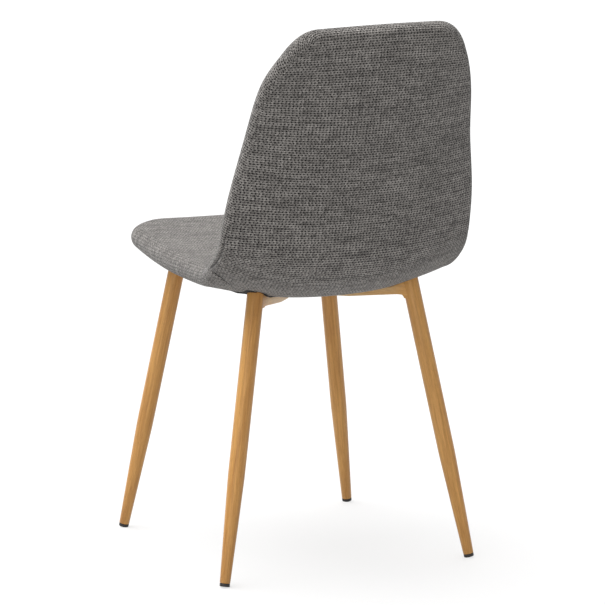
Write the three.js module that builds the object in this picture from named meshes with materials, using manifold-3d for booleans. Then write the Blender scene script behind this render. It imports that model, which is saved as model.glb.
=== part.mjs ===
// Dining chair: an upholstered one-piece shell on a welded frame of crossed bars and four tapered legs.
// All sizes are in millimetres. The sitter faces -Y, +X is the sitter's left, and Z is up from the floor.

import * as THREE from "three";
import { mergeVertices } from "three/addons/utils/BufferGeometryUtils.js";
import Module from "manifold-3d";

// Side view of the shell's middle surface
const bendCornerY = 203; // where the lines of the seat and the back would cross
const bendCornerHeight = 419.5;
const seatPitchDegrees = 6.4; // the seat falls towards the back
const backReclineDegrees = 14.9;
const seatLength = 419; // from the crossing to the start of the front lip
const backLength = 414; // from the crossing to the top edge
const bendRadius = 101;
const lipRadius = 76;
const lipTurnDegrees = 26;

// Half widths of the middle surface, from the front lip to the top
const lipHalfWidth = 169;
const seatHalfWidth = 186.5;
const bendStartHalfWidth = 190;
const bendHalfWidth = 192;
const lowBackHalfWidth = 186;
const middleBackHalfWidth = 168;
const topHalfWidth = 147;

// How far the side edges stand up from the middle of the seat, or forward from the middle of the back
const lipRise = 6;
const seatRise = 9;
const bendStartRise = 24;
const bendRise = 36;
const lowBackRise = 34;
const middleBackRise = 33;
const topRise = 11;
const dishPower = 2.25;

// Rounded corners and bowed ends of the outline
const lipCornerAcross = 131;
const lipCornerAlong = 79;
const topCornerAcross = 54;
const topCornerAlong = 125;
const lipCrown = 14;
const topCrown = 5;
const crownReach = 150;

// Half of the padded thickness, which is also the radius of the padded edge
const seatHalfThickness = 16.5;
const bendHalfThickness = 15.8;
const backHalfThickness = 15;

// Layers of the shell
const coverThickness = 1.6;
const plywoodThickness = 9;
const wadThickness = 2.4;
const dustCoverThickness = 1;
const layerGap = 0.7;
const wideGap = 0.9; // above and below the plywood's corners, where the layers' facets differ most
const plywoodInset = 8; // from the middle surface's outline
const rimGap = 2.2; // between the plywood's edge and the foam wrapped round it
const seatHem = 24; // cover turned under the seat's edge
const backHem = 2; // cover turned round to the rear face of the back
const dustCoverInset = 12;
const hemRoom = 1.3; // between the hem and the plywood

// Legs
const legRadius = 12.7;
const legWall = 1.5;
const footRadius = 7.7;
const legTaperShare = 0.375; // of the leg's length, from the foot up
const rearFootX = 204.9;
const rearFootY = 201;
const frontFootX = 196.9;
const frontFootY = -207.6;
const legGaugeHeight = 431; // where the next four values are taken
const rearLegX = 127.8;
const rearLegY = 149;
const frontLegX = 126.6;
const frontLegY = -142.6;
const legClearance = 0.8; // below the shell
const legTopSpare = 16; // left on the tube before its top is cut to the shell's underside

// Foot caps
const capHeight = 4.8;
const capStemLength = 12;
const capEdgeRadius = 0.9;
const capLandDepth = 0.5; // flat worn by the floor on the cap's lowest edge

// Crossed bars, pressed as channels that are open below
const barWidth = 24;
const barWall = 2;
const rearBarTop = 425.5;
const lowBarTop = 413.5;
const middleBarTop = 414;
const frontBarTop = 438;
const endBarDepth = 16.5;
const middleBarDepth = 13.5;
const barFilletReach = 6;
const barFilletDrop = 3.5;

// Fasteners between the bars and the plywood
const boltReach = 76; // from the crossing of the bars
const boltRadius = 3;
const boltHeadRadius = 5.6;
const boltHeadHeight = 3.4;
const boltTipInset = 0.5; // of the bolt's tip, below the tee nut's flange
const hexSocketRadius = 2.3;
const hexSocketDepth = 2.2;
const flatWasherRadius = 7;
const flatWasherThickness = 1.4;
const lockWasherRadius = 5.8;
const lockWasherThickness = 1.8;
const washerSeat = 0.9; // room for the tilt between the bolt and the bar
const holeClearance = 0.4;
const padRadius = 10;
const padGap = 0.3;
const barrelRadius = 4;
const barrelLength = 7.5;
const flangeRadius = 9.5;
const flangeThickness = 1.5;
const flangeSeat = 0.5; // room for the plywood's curve under the flange

// Fits and fineness
const fitGap = 0.3;
const cutOverrun = 5;
const mergeTolerance = 1e-4;
const normalStep = 0.5;
const roundSegments = 20;
const envelopeGap = 0.3;
const columnCount = 10;
const seatRows = 9;
const bendRows = 7;
const backRows = 6;
const endRowPower = 1.5; // crowds the rows towards the ends of the shell
const edgeCrowding = 0.5; // crowds the columns towards the side edges, from none at 0 to a sine's at 1
const bowReach = 80; // over which the rows lose the bow of the outline's ends
const backCoverFirstRow = seatRows + 1; // in the bend, where the back cover is tacked under the seat
const dustCoverLastRow = backCoverFirstRow + 1; // laps over the end of the back cover

const wasm = await Module();
wasm.setup();

const fabric = new THREE.MeshStandardMaterial({ color: 0x625f5d, roughness: 0.95, metalness: 0 });
const seatFabric = new THREE.MeshStandardMaterial({ color: 0x6a6765, roughness: 0.95, metalness: 0 });
const blackCloth = new THREE.MeshStandardMaterial({ color: 0x161616, roughness: 0.95, metalness: 0 });
const foam = new THREE.MeshStandardMaterial({ color: 0xe6dcc0, roughness: 1, metalness: 0 });
const plywood = new THREE.MeshStandardMaterial({ color: 0xc9a878, roughness: 0.7, metalness: 0 });
const woodSkin = new THREE.MeshStandardMaterial({ color: 0xb48a57, roughness: 0.45, metalness: 0 });
const blackPlastic = new THREE.MeshStandardMaterial({ color: 0x17120f, roughness: 0.5, metalness: 0 });
const zinc = new THREE.MeshStandardMaterial({ color: 0xb9bcc0, roughness: 0.35, metalness: 1 });

const chair = new THREE.Group();

function addMesh(name, geometry, material) {
  const mesh = new THREE.Mesh(geometry, material);
  mesh.name = name;
  chair.add(mesh);
  return mesh;
}

// Solids for cutting and joining

function toSolid(geometry) {
  const plain = geometry.clone();
  plain.deleteAttribute("normal");
  plain.deleteAttribute("uv");
  const merged = mergeVertices(plain, mergeTolerance);
  return new wasm.Manifold(new wasm.Mesh({
    numProp: 3,
    vertProperties: Float32Array.from(merged.attributes.position.array),
    triVerts: Uint32Array.from(merged.index.array),
  }));
}

function toGeometry(solid) {
  const mesh = solid.getMesh();
  const geometry = new THREE.BufferGeometry();
  geometry.setAttribute("position", new THREE.Float32BufferAttribute(mesh.vertProperties, 3));
  geometry.setIndex(Array.from(mesh.triVerts));
  geometry.computeVertexNormals();
  return geometry;
}

// The profile of the shell's middle surface, in the YZ plane

const seatPitch = THREE.MathUtils.degToRad(seatPitchDegrees);
const backRecline = THREE.MathUtils.degToRad(backReclineDegrees);
const lipTurn = THREE.MathUtils.degToRad(lipTurnDegrees);
const bendTurn = Math.PI / 2 - backRecline + seatPitch;
const bendTangent = bendRadius * Math.tan(bendTurn / 2);

function drawProfile() {
  const corner = new THREE.Vector2(bendCornerY, bendCornerHeight);
  const seatLine = new THREE.Vector2(Math.cos(seatPitch), -Math.sin(seatPitch));
  const seatUp = new THREE.Vector2(Math.sin(seatPitch), Math.cos(seatPitch));
  const backLine = new THREE.Vector2(Math.sin(backRecline), Math.cos(backRecline));
  const lipStart = corner.clone().addScaledVector(seatLine, -seatLength);
  const lipCentre = lipStart.addScaledVector(seatUp, -lipRadius);
  const bendFoot = corner.clone().addScaledVector(seatLine, -bendTangent);
  const bendCentre = bendFoot.addScaledVector(seatUp, bendRadius);
  const upAngle = Math.PI / 2 - seatPitch;
  const top = corner.clone().addScaledVector(backLine, backLength);
  const path = new THREE.Path();
  path.absarc(lipCentre.x, lipCentre.y, lipRadius, upAngle + lipTurn, upAngle, true);
  const downAngle = upAngle - Math.PI;
  path.absarc(bendCentre.x, bendCentre.y, bendRadius, downAngle, downAngle + bendTurn, false);
  path.lineTo(top.x, top.y);
  return path;
}

const profile = drawProfile();
const lipEnd = lipRadius * lipTurn;
const bendStart = lipEnd + seatLength - bendTangent;
const bendEnd = bendStart + bendRadius * bendTurn;
const profileEnd = bendEnd + backLength - bendTangent;

// Half width, rise of the edge and half thickness at stations along the profile

const stations = [
  [0, lipHalfWidth, lipRise, seatHalfThickness],
  [(lipEnd + bendStart) / 2, seatHalfWidth, seatRise, seatHalfThickness],
  [bendStart, bendStartHalfWidth, bendStartRise, seatHalfThickness],
  [(bendStart + bendEnd) / 2, bendHalfWidth, bendRise, bendHalfThickness],
  [bendEnd + (profileEnd - bendEnd) / 6, lowBackHalfWidth, lowBackRise, backHalfThickness],
  [(bendEnd + profileEnd) / 2, middleBackHalfWidth, middleBackRise, backHalfThickness],
  [profileEnd, topHalfWidth, topRise, backHalfThickness],
];
const sizesAlong = new THREE.CubicInterpolant(
  stations.map((station) => station[0]),
  stations.flatMap((station) => station.slice(1)),
  stations[0].length - 1,
);

function shellAt(along) {
  const [halfWidth, rise, halfThickness] = sizesAlong.evaluate(THREE.MathUtils.clamp(along, 0, profileEnd));
  return { halfWidth, rise, halfThickness };
}

function middlePoint(x, along) {
  const { halfWidth, rise } = shellAt(along);
  const across = Math.abs(x) / halfWidth;
  const lipFade = Math.max(0, 1 - along / crownReach) ** 2;
  const topFade = Math.max(0, 1 - (profileEnd - along) / crownReach) ** 2;
  const bowed = along + (lipCrown * lipFade - topCrown * topFade) * across ** 2;
  const share = THREE.MathUtils.clamp(bowed / profileEnd, 0, 1);
  const point = profile.getPoint(share);
  const tangent = profile.getTangent(share);
  const lift = rise * across ** dishPower;
  return new THREE.Vector3(x, point.x - tangent.y * lift, point.y + tangent.x * lift);
}

// The normal points up from the seat and forward from the back

function middleNormal(x, along) {
  const low = THREE.MathUtils.clamp(along, normalStep, profileEnd - normalStep);
  const acrossStep = middlePoint(x + normalStep, low).sub(middlePoint(x - normalStep, low));
  const alongStep = middlePoint(x, low + normalStep).sub(middlePoint(x, low - normalStep));
  return acrossStep.cross(alongStep).normalize();
}

function offsetPoint(x, along, height) {
  return middlePoint(x, along).addScaledVector(middleNormal(x, along), height);
}

// Every layer of the shell has its facets on one net over the unrolled middle surface. The net's rows are
// places along the profile. The first and last rows bow with the ends of the outline, whose corners are
// quarters of an ellipse, split between the end row and the side columns at the middle of the quarter.

const lipCorner = { across: lipCornerAcross, along: lipCornerAlong };
const topCorner = { across: topCornerAcross, along: topCornerAlong };
const lipSplit = lipCorner.along * (1 - Math.SQRT1_2);
const topSplit = profileEnd - topCorner.along * (1 - Math.SQRT1_2);

function spaced(from, to, count, power) {
  return Array.from({ length: count }, (_, step) => from + (to - from) * (step / count) ** power);
}

const rowPlaces = [
  ...spaced(lipSplit, bendStart, seatRows, endRowPower),
  ...spaced(bendStart, bendEnd, bendRows, 1),
  bendEnd,
  ...spaced(topSplit, bendEnd, backRows, endRowPower).reverse(),
];

function cornerCut({ across, along }, fromEnd) {
  const reach = Math.max(0, 1 - fromEnd / along);
  return across * (1 - Math.sqrt(1 - reach ** 2));
}

function outlineHalfWidth(along) {
  return shellAt(along).halfWidth - cornerCut(lipCorner, along) - cornerCut(topCorner, profileEnd - along);
}

function endBow({ across, along }, splitHalfWidth, share) {
  const flatHalfWidth = splitHalfWidth - across * Math.SQRT1_2;
  const round = Math.max(0, (Math.abs(share) * splitHalfWidth - flatHalfWidth) / across);
  return along * (Math.SQRT1_2 - Math.sqrt(1 - round ** 2));
}

function netPoint(row, column) {
  const place = rowPlaces[row];
  const evenShare = (2 * column) / columnCount - 1;
  const share = THREE.MathUtils.lerp(evenShare, Math.sin((evenShare * Math.PI) / 2), edgeCrowding);
  const lipFade = Math.max(0, 1 - (place - lipSplit) / bowReach);
  const topFade = Math.max(0, 1 - (topSplit - place) / bowReach);
  const lipBow = endBow(lipCorner, outlineHalfWidth(lipSplit), share) * lipFade;
  const topBow = endBow(topCorner, outlineHalfWidth(topSplit), share) * topFade;
  return new THREE.Vector2(share * outlineHalfWidth(place), place + lipBow - topBow);
}

// Indices of a panel's outline, counter-clockwise as seen from the side of the normal

function outlineIndices(rowCount) {
  const loop = [];
  for (let column = 0; column < columnCount; column++) loop.push([0, column]);
  for (let row = 0; row < rowCount - 1; row++) loop.push([row, columnCount]);
  for (let column = columnCount; column > 0; column--) loop.push([rowCount - 1, column]);
  for (let row = rowCount - 1; row > 0; row--) loop.push([row, 0]);
  return loop;
}

// A panel's part of the net, between two rows, with the way out at each point of its outline.
// Where it is cut across the shell, its end row stays straight.

function panelNet(firstRow, lastRow) {
  const rows = [];
  for (let row = firstRow; row <= lastRow; row++) {
    rows.push(Array.from({ length: columnCount + 1 }, (_, column) => netPoint(row, column)));
  }
  const loop = outlineIndices(rows.length);
  const outward = loop.map(([row, column], index) => {
    const [nextRow, nextColumn] = loop[(index + 1) % loop.length];
    const [lastRowIndex, lastColumn] = loop[(index + loop.length - 1) % loop.length];
    const step = rows[nextRow][nextColumn].clone().sub(rows[lastRowIndex][lastColumn]).normalize();
    const cutStart = row === 0 && firstRow > 0;
    const cutEnd = row === rows.length - 1 && lastRow < rowPlaces.length - 1;
    if (!cutStart && !cutEnd) return new THREE.Vector2(step.y, -step.x);
    return new THREE.Vector2(column === 0 ? -1 : Number(column === columnCount), 0);
  });
  return { rows, loop, outward, firstRow };
}

function insetRows({ rows, loop, outward }, inset) {
  const moved = rows.map((points) => points.map((point) => point.clone()));
  loop.forEach(([row, column], index) => {
    const point = moved[row][column];
    point.addScaledVector(outward[index], -inset(point.y));
  });
  return moved;
}

// A closed panel: an upper face, a lower face, and an edge whose section is a list of places, each the
// distance out from the outline and the height over the middle surface, from the upper face to the lower.
// A place further in than the outline lies over the surface, and one further out stands off its edge.

function panelGeometry({ net, upper, lower, upperInset, lowerInset, section }) {
  const positions = [];
  const indices = [];
  const addPoint = (point) => positions.push(point.x, point.y, point.z) / 3 - 1;
  const addFace = (inset, height) => insetRows(net, inset).map((points) => (
    points.map(({ x, y }) => addPoint(offsetPoint(x, y, height(y))))
  ));
  const addQuad = (a, b, c, d, splitAtFirst) => (
    splitAtFirst ? indices.push(a, b, c, a, c, d) : indices.push(b, c, d, b, d, a)
  );
  const upperFace = addFace(upperInset, upper);
  const lowerFace = addFace(lowerInset, lower);
  for (let row = 0; row < net.rows.length - 1; row++) {
    const nearTop = net.firstRow + row >= rowPlaces.length / 2;
    for (let column = 0; column < columnCount; column++) {
      const next = column + 1;
      const radial = nearTop === (column >= columnCount / 2);
      const [up, low] = [upperFace, lowerFace];
      addQuad(up[row][column], up[row][next], up[row + 1][next], up[row + 1][column], radial);
      addQuad(low[row][column], low[row + 1][column], low[row + 1][next], low[row][next], radial);
    }
  }
  const edgePoints = net.loop.map(([row, column], index) => {
    const { x, y } = net.rows[row][column];
    const outward = net.outward[index];
    const point = middlePoint(x, y);
    const normal = middleNormal(x, y);
    const acrossStep = outward.x * normalStep;
    const beyond = middlePoint(x + acrossStep, y).sub(middlePoint(x - acrossStep, y));
    const along = middlePoint(x, Math.min(profileEnd, y + normalStep)).sub(middlePoint(x, y - normalStep));
    const aside = beyond.normalize().multiplyScalar(Math.abs(outward.x));
    const out = aside.addScaledVector(along.normalize(), outward.y).normalize();
    return section(y).map(([distance, height]) => addPoint(distance > 0
      ? point.clone().addScaledVector(out, distance).addScaledVector(normal, height)
      : offsetPoint(x + outward.x * distance, y + outward.y * distance, height)));
  });
  const rings = [
    net.loop.map(([row, column]) => upperFace[row][column]),
    ...edgePoints[0].map((_, place) => edgePoints.map((points) => points[place])),
    net.loop.map(([row, column]) => lowerFace[row][column]),
  ];
  for (let ring = 0; ring < rings.length - 1; ring++) {
    const [above, below] = [rings[ring], rings[ring + 1]];
    for (let index = 0; index < net.loop.length; index++) {
      const next = (index + 1) % net.loop.length;
      const corners = [below[index], below[next], above[next], above[index]];
      const [a, b, c, d] = corners.map((corner) => new THREE.Vector3().fromArray(positions, 3 * corner));
      addQuad(...corners, a.distanceTo(c) < b.distanceTo(d));
    }
  }
  const geometry = new THREE.BufferGeometry();
  geometry.setAttribute("position", new THREE.Float32BufferAttribute(positions, 3));
  geometry.setIndex(indices);
  geometry.computeVertexNormals();
  return geometry;
}

const wholeNet = panelNet(0, rowPlaces.length - 1);

function flatPanel(net, inset, upper, lower) {
  return panelGeometry({ net, upper, lower, upperInset: inset, lowerInset: inset, section: () => [] });
}

// Heights of the layers over the middle surface

const bendShare = (along) => THREE.MathUtils.smoothstep(along, bendStart, bendEnd);
const outerFace = (along) => shellAt(along).halfThickness;
const innerRadius = (along) => outerFace(along) - coverThickness;
const foamRadius = (along) => innerRadius(along) - layerGap;
const wadLower = (along) => layerGap - innerRadius(along);
const wadUpper = (along) => wadLower(along) + wadThickness;
const plywoodLower = (along) => {
  const overHem = hemRoom - innerRadius(along);
  const overWad = wadUpper(along) + layerGap;
  return THREE.MathUtils.lerp(overHem, overWad, bendShare(along));
};
const plywoodUpper = (along) => plywoodLower(along) + plywoodThickness;
const foamLower = (along) => plywoodUpper(along) + wideGap;
const dustUpper = (along) => -outerFace(along) - wideGap;
const dustLower = (along) => dustUpper(along) - dustCoverThickness;
const hemWidth = (along) => THREE.MathUtils.lerp(seatHem, backHem, bendShare(along));
const noInset = () => 0;

// Upholstery

function frontCoverGeometry() {
  const section = (along) => {
    const outer = outerFace(along);
    const inner = innerRadius(along);
    const hem = hemWidth(along);
    const onEdge = (turn) => [outer * Math.cos(turn), outer * Math.sin(turn)];
    return [
      ...[Math.PI / 4, 0, -Math.PI / 4].map(onEdge),
      [0, -outer],
      [-hem / 2, -outer],
      [-hem, -outer],
      [-hem, -inner],
      [-hem / 2, -inner],
      [0, -inner],
      [inner, 0],
    ];
  };
  return panelGeometry({
    net: wholeNet, upper: outerFace, lower: innerRadius, upperInset: noInset, lowerInset: noInset, section,
  });
}

function frontFoamGeometry() {
  const rim = plywoodInset - rimGap;
  const section = (along) => [[foamRadius(along), 0], [0, -foamRadius(along)], [-rim, -foamRadius(along)]];
  return panelGeometry({
    net: wholeNet, upper: foamRadius, lower: foamLower, upperInset: noInset, lowerInset: () => rim, section,
  });
}

// The envelope holds the whole shell, for cutting what stands under it

function shellEnvelope() {
  const section = (along) => [[outerFace(along) + envelopeGap, 0], [outerFace(along), dustLower(along)]];
  return toSolid(panelGeometry({
    net: wholeNet,
    upper: outerFace,
    lower: (along) => dustLower(along) - envelopeGap,
    upperInset: noInset,
    lowerInset: noInset,
    section,
  }));
}

// Round pieces are turned about their own Z axis and then set at a place, along a direction

function turned(points, segments = roundSegments) {
  const outline = points.map(([radius, height]) => new THREE.Vector2(radius, height));
  return new THREE.LatheGeometry(outline, segments).rotateX(Math.PI / 2);
}

function ring(innerR, outerR, low, high) {
  return turned([[innerR, low], [outerR, low], [outerR, high], [innerR, high], [innerR, low]]);
}

function disc(radius, low, high, segments) {
  return turned([[0, low], [radius, low], [radius, high], [0, high]], segments);
}

const zAxis = new THREE.Vector3(0, 0, 1);

function setAlong(object, place, direction) {
  object.position.copy(place);
  object.quaternion.setFromUnitVectors(zAxis, direction);
}

function placedSolid(geometry, place, direction) {
  const turn = new THREE.Quaternion().setFromUnitVectors(zAxis, direction);
  const unit = new THREE.Vector3(1, 1, 1);
  return toSolid(geometry.clone().applyMatrix4(new THREE.Matrix4().compose(place, turn, unit)));
}

// Legs and their caps

const rearLeg = { footX: rearFootX, footY: rearFootY, gaugeX: rearLegX, gaugeY: rearLegY };
const frontLeg = { footX: frontFootX, footY: frontFootY, gaugeX: frontLegX, gaugeY: frontLegY };
const corners = [
  { name: "rear_left", side: 1, ...rearLeg },
  { name: "rear_right", side: -1, ...rearLeg },
  { name: "front_left", side: 1, ...frontLeg },
  { name: "front_right", side: -1, ...frontLeg },
];

// The foot's middle stands as high as its tilt lifts it over the lowest edge, less the flat land

function legLine({ side, footX, footY, gaugeX, gaugeY }) {
  const spread = new THREE.Vector2(footX - gaugeX, footY - gaugeY).length();
  const tilt = Math.atan2(spread, legGaugeHeight);
  const foot = new THREE.Vector3(side * footX, footY, footRadius * Math.sin(tilt) - capLandDepth);
  const gauge = new THREE.Vector3(side * gaugeX, gaugeY, legGaugeHeight);
  const direction = gauge.clone().sub(foot).normalize();
  return { foot, direction, tilt };
}

function legPointAt(line, height) {
  return line.foot.clone().addScaledVector(line.direction, (height - line.foot.z) / line.direction.z);
}

// Lowest face of the shell over a place, found along the side view

function undersideHeight(x, y) {
  const steps = 400;
  let best = null;
  for (let step = 0; step <= steps; step++) {
    const along = (bendEnd * step) / steps;
    const point = offsetPoint(x, along, dustLower(along));
    if (best === null || Math.abs(point.y - y) < Math.abs(best.y - y)) best = point;
  }
  return best.z;
}

function legTopHeight(line) {
  let top = Infinity;
  const middle = legPointAt(line, legGaugeHeight);
  for (const [turnX, turnY] of [[1, 0], [-1, 0], [0, 1], [0, -1]]) {
    top = Math.min(top, undersideHeight(middle.x + legRadius * turnX, middle.y + legRadius * turnY));
  }
  return top - legRadius * Math.sin(line.tilt) - legClearance;
}

function legRadiusAt(distance, length) {
  const taperLength = length * legTaperShare;
  return THREE.MathUtils.lerp(footRadius, legRadius, Math.min(1, distance / taperLength));
}

function legGeometry(length) {
  const taperLength = length * legTaperShare;
  const start = capHeight + fitGap;
  const startRadius = legRadiusAt(start, length);
  return turned([
    [startRadius, start],
    [legRadius, taperLength],
    [legRadius, length + legTopSpare],
    [legRadius - legWall, length + legTopSpare],
    [legRadius - legWall, taperLength],
    [startRadius - legWall, start],
    [startRadius, start],
  ]);
}

function footCapSolid(line, length) {
  const rimRadius = legRadiusAt(capHeight, length);
  const stemRadius = footRadius - legWall - fitGap;
  const outline = [
    [0, 0],
    [footRadius - capEdgeRadius, 0],
    [footRadius, capEdgeRadius],
    [rimRadius, capHeight],
    [stemRadius, capHeight],
    [stemRadius, capHeight + capStemLength],
    [0, capHeight + capStemLength],
  ];
  const floorCut = new THREE.BoxGeometry(4 * footRadius, 4 * footRadius, 2 * footRadius)
    .translate(line.foot.x, line.foot.y, -footRadius);
  return placedSolid(turned(outline), line.foot, line.direction).subtract(toSolid(floorCut));
}

const envelope = shellEnvelope();
const legs = {};
for (const corner of corners) {
  const line = legLine(corner);
  const top = legPointAt(line, legTopHeight(line));
  const length = top.distanceTo(line.foot);
  legs[corner.name] = { ...line, length };
  const leg = placedSolid(legGeometry(length), line.foot, line.direction).subtract(envelope);
  addMesh(`leg_${corner.name}`, toGeometry(leg), woodSkin);
  addMesh(`foot_cap_${corner.name}`, toGeometry(footCapSolid(line, length)), blackPlastic);
}

// Crossed bars. Each is drawn in side view, from the rear leg's axis to the front leg's, and then hollowed.

const rearAxis = legPointAt(legs.rear_left, rearBarTop - endBarDepth / 2);
const frontAxis = legPointAt(legs.front_left, frontBarTop - endBarDepth / 2);
const barLength = new THREE.Vector2(rearAxis.x + frontAxis.x, rearAxis.y - frontAxis.y).length();
const crossingY = THREE.MathUtils.lerp(rearAxis.y, frontAxis.y, rearAxis.x / (rearAxis.x + frontAxis.x));
const crossing = new THREE.Vector2(0, crossingY);
const crossingPlace = crossing.distanceTo(new THREE.Vector2(rearAxis.x, rearAxis.y));

const barPlaces = [0, crossingPlace / 4, crossingPlace / 2, crossingPlace, barLength];
const barTops = [rearBarTop, (rearBarTop + lowBarTop) / 2, lowBarTop, middleBarTop, frontBarTop];

function barTopAt(place) {
  return new THREE.CubicInterpolant(barPlaces, barTops, 1).evaluate(place)[0];
}

function barDepthAt(place) {
  const towardsEnd = Math.min(1, Math.abs(place - crossingPlace) / crossingPlace);
  return THREE.MathUtils.lerp(middleBarDepth, endBarDepth, towardsEnd);
}

function barOutline(drop, extraDepth) {
  const steps = 12;
  const places = Array.from({ length: steps + 1 }, (_, step) => (barLength * step) / steps);
  const shape = new THREE.Shape();
  shape.moveTo(0, barTopAt(0) - drop);
  for (const place of places.slice(1)) shape.lineTo(place, barTopAt(place) - drop);
  const lowAt = (place) => barTopAt(place) - barDepthAt(place) - extraDepth;
  const filletEnd = legRadius + barFilletReach;
  shape.lineTo(barLength, lowAt(barLength));
  shape.lineTo(barLength - legRadius / 2, lowAt(barLength));
  shape.lineTo(barLength - legRadius, lowAt(barLength) - barFilletDrop);
  const lowFilletEnd = lowAt(barLength - filletEnd);
  shape.quadraticCurveTo(barLength - legRadius, lowAt(barLength), barLength - filletEnd, lowFilletEnd);
  for (const place of places.slice(1, steps).reverse()) shape.lineTo(place, lowAt(place));
  shape.lineTo(filletEnd, lowAt(filletEnd));
  shape.quadraticCurveTo(legRadius, lowAt(0), legRadius, lowAt(0) - barFilletDrop);
  shape.lineTo(legRadius / 2, lowAt(0));
  shape.lineTo(0, lowAt(0));
  shape.closePath();
  return shape;
}

function barSolid(side, { width, drop, extraDepth }) {
  const span = new THREE.Vector3(-side * (rearAxis.x + frontAxis.x), frontAxis.y - rearAxis.y, 0);
  const along = span.normalize();
  const sideways = along.clone().cross(zAxis);
  const frame = new THREE.Matrix4().makeBasis(along, zAxis, sideways);
  frame.setPosition(side * rearAxis.x, rearAxis.y, 0);
  const geometry = new THREE.ExtrudeGeometry(barOutline(drop, extraDepth), {
    depth: width, bevelEnabled: false, curveSegments: 4,
  });
  return toSolid(geometry.translate(0, 0, -width / 2).applyMatrix4(frame));
}

function wholeBar(side) {
  return barSolid(side, { width: barWidth, drop: 0, extraDepth: 0 });
}

function grownBar(side, gap) {
  return barSolid(side, { width: barWidth + 2 * gap, drop: -gap, extraDepth: gap });
}

function channelBar(side) {
  const hollow = barSolid(side, {
    width: barWidth - 2 * barWall, drop: barWall, extraDepth: cutOverrun,
  });
  return wholeBar(side).subtract(hollow).subtract(envelope);
}

function legCutter(name) {
  const { foot, direction, length } = legs[name];
  return placedSolid(disc(legRadius + fitGap, 0, length + legRadius), foot, direction);
}

// Fasteners stand on the shell's own normal over each bar

function boltAxis(side, placeOnBar) {
  const along = new THREE.Vector2(-side * (rearAxis.x + frontAxis.x), frontAxis.y - rearAxis.y).normalize();
  const x = side * rearAxis.x + along.x * placeOnBar;
  const y = rearAxis.y + along.y * placeOnBar;
  let low = 0;
  let high = bendStart;
  for (let step = 0; step < 30; step++) {
    const middle = (low + high) / 2;
    if (middlePoint(x, middle).y < y) low = middle;
    else high = middle;
  }
  const origin = middlePoint(x, low);
  const normal = middleNormal(x, low);
  const barTopHeight = (barTopAt(placeOnBar) - origin.z) / normal.z;
  return { origin, normal, along: low, barTopHeight };
}

const boltPlaces = [
  { name: "rear_left", ...boltAxis(1, crossingPlace - boltReach) },
  { name: "rear_right", ...boltAxis(-1, crossingPlace - boltReach) },
  { name: "front_left", ...boltAxis(-1, crossingPlace + boltReach) },
  { name: "front_right", ...boltAxis(1, crossingPlace + boltReach) },
];

function drill(solid, axis, radius, low, high) {
  return solid.subtract(placedSolid(disc(radius, low, high), axis.origin, axis.normal));
}

function drillAll(solid, radius, lowOf, highOf) {
  return boltPlaces.reduce((cut, axis) => drill(cut, axis, radius, lowOf(axis), highOf(axis)), solid);
}

function headTop(axis) {
  return axis.barTopHeight - barWall - washerSeat - flatWasherThickness - lockWasherThickness - 3 * fitGap;
}

function boltSolid(length) {
  const outline = [
    [0, -boltHeadHeight],
    [boltHeadRadius * Math.SQRT1_2, -boltHeadHeight],
    [boltHeadRadius, -boltHeadHeight / 3],
    [boltHeadRadius, 0],
    [boltRadius, 0],
    [boltRadius, length],
    [0, length],
  ];
  const socket = disc(hexSocketRadius, -boltHeadHeight - cutOverrun, -boltHeadHeight + hexSocketDepth, 6);
  return toSolid(turned(outline)).subtract(toSolid(socket));
}

function teeNutGeometry() {
  const bore = boltRadius + fitGap;
  return turned([
    [bore, -barrelLength],
    [barrelRadius, -barrelLength],
    [barrelRadius, 0],
    [flangeRadius, 0],
    [flangeRadius, flangeThickness],
    [bore, flangeThickness],
    [bore, -barrelLength],
  ]);
}

function addFasteners() {
  for (const axis of boltPlaces) {
    const head = headTop(axis);
    const boltLength = plywoodUpper(axis.along) + flangeSeat + flangeThickness - boltTipInset - head;
    const at = (height) => axis.origin.clone().addScaledVector(axis.normal, height);
    const bore = boltRadius + fitGap;
    const bolt = addMesh(`frame_bolt_${axis.name}`, toGeometry(boltSolid(boltLength)), zinc);
    setAlong(bolt, at(head), axis.normal);
    const lockRing = ring(bore, lockWasherRadius, 0, lockWasherThickness);
    const lock = addMesh(`lock_washer_${axis.name}`, lockRing, zinc);
    setAlong(lock, at(head + fitGap), axis.normal);
    const flatRing = ring(bore, flatWasherRadius, 0, flatWasherThickness);
    const flat = addMesh(`flat_washer_${axis.name}`, flatRing, zinc);
    setAlong(flat, at(head + lockWasherThickness + 2 * fitGap), axis.normal);
    const nut = addMesh(`tee_nut_${axis.name}`, teeNutGeometry(), zinc);
    setAlong(nut, at(plywoodUpper(axis.along) + flangeSeat), axis.normal);
    const padTop = plywoodLower(axis.along) - padGap;
    const padGeometry = ring(boltRadius + holeClearance, padRadius, axis.barTopHeight - cutOverrun, padTop);
    const side = axis.name === "rear_left" || axis.name === "front_right" ? 1 : -1;
    const pad = placedSolid(padGeometry, axis.origin, axis.normal).subtract(grownBar(side, fitGap));
    addMesh(`shell_pad_${axis.name}`, toGeometry(pad), blackPlastic);
  }
}

// Upholstered shell

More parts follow.
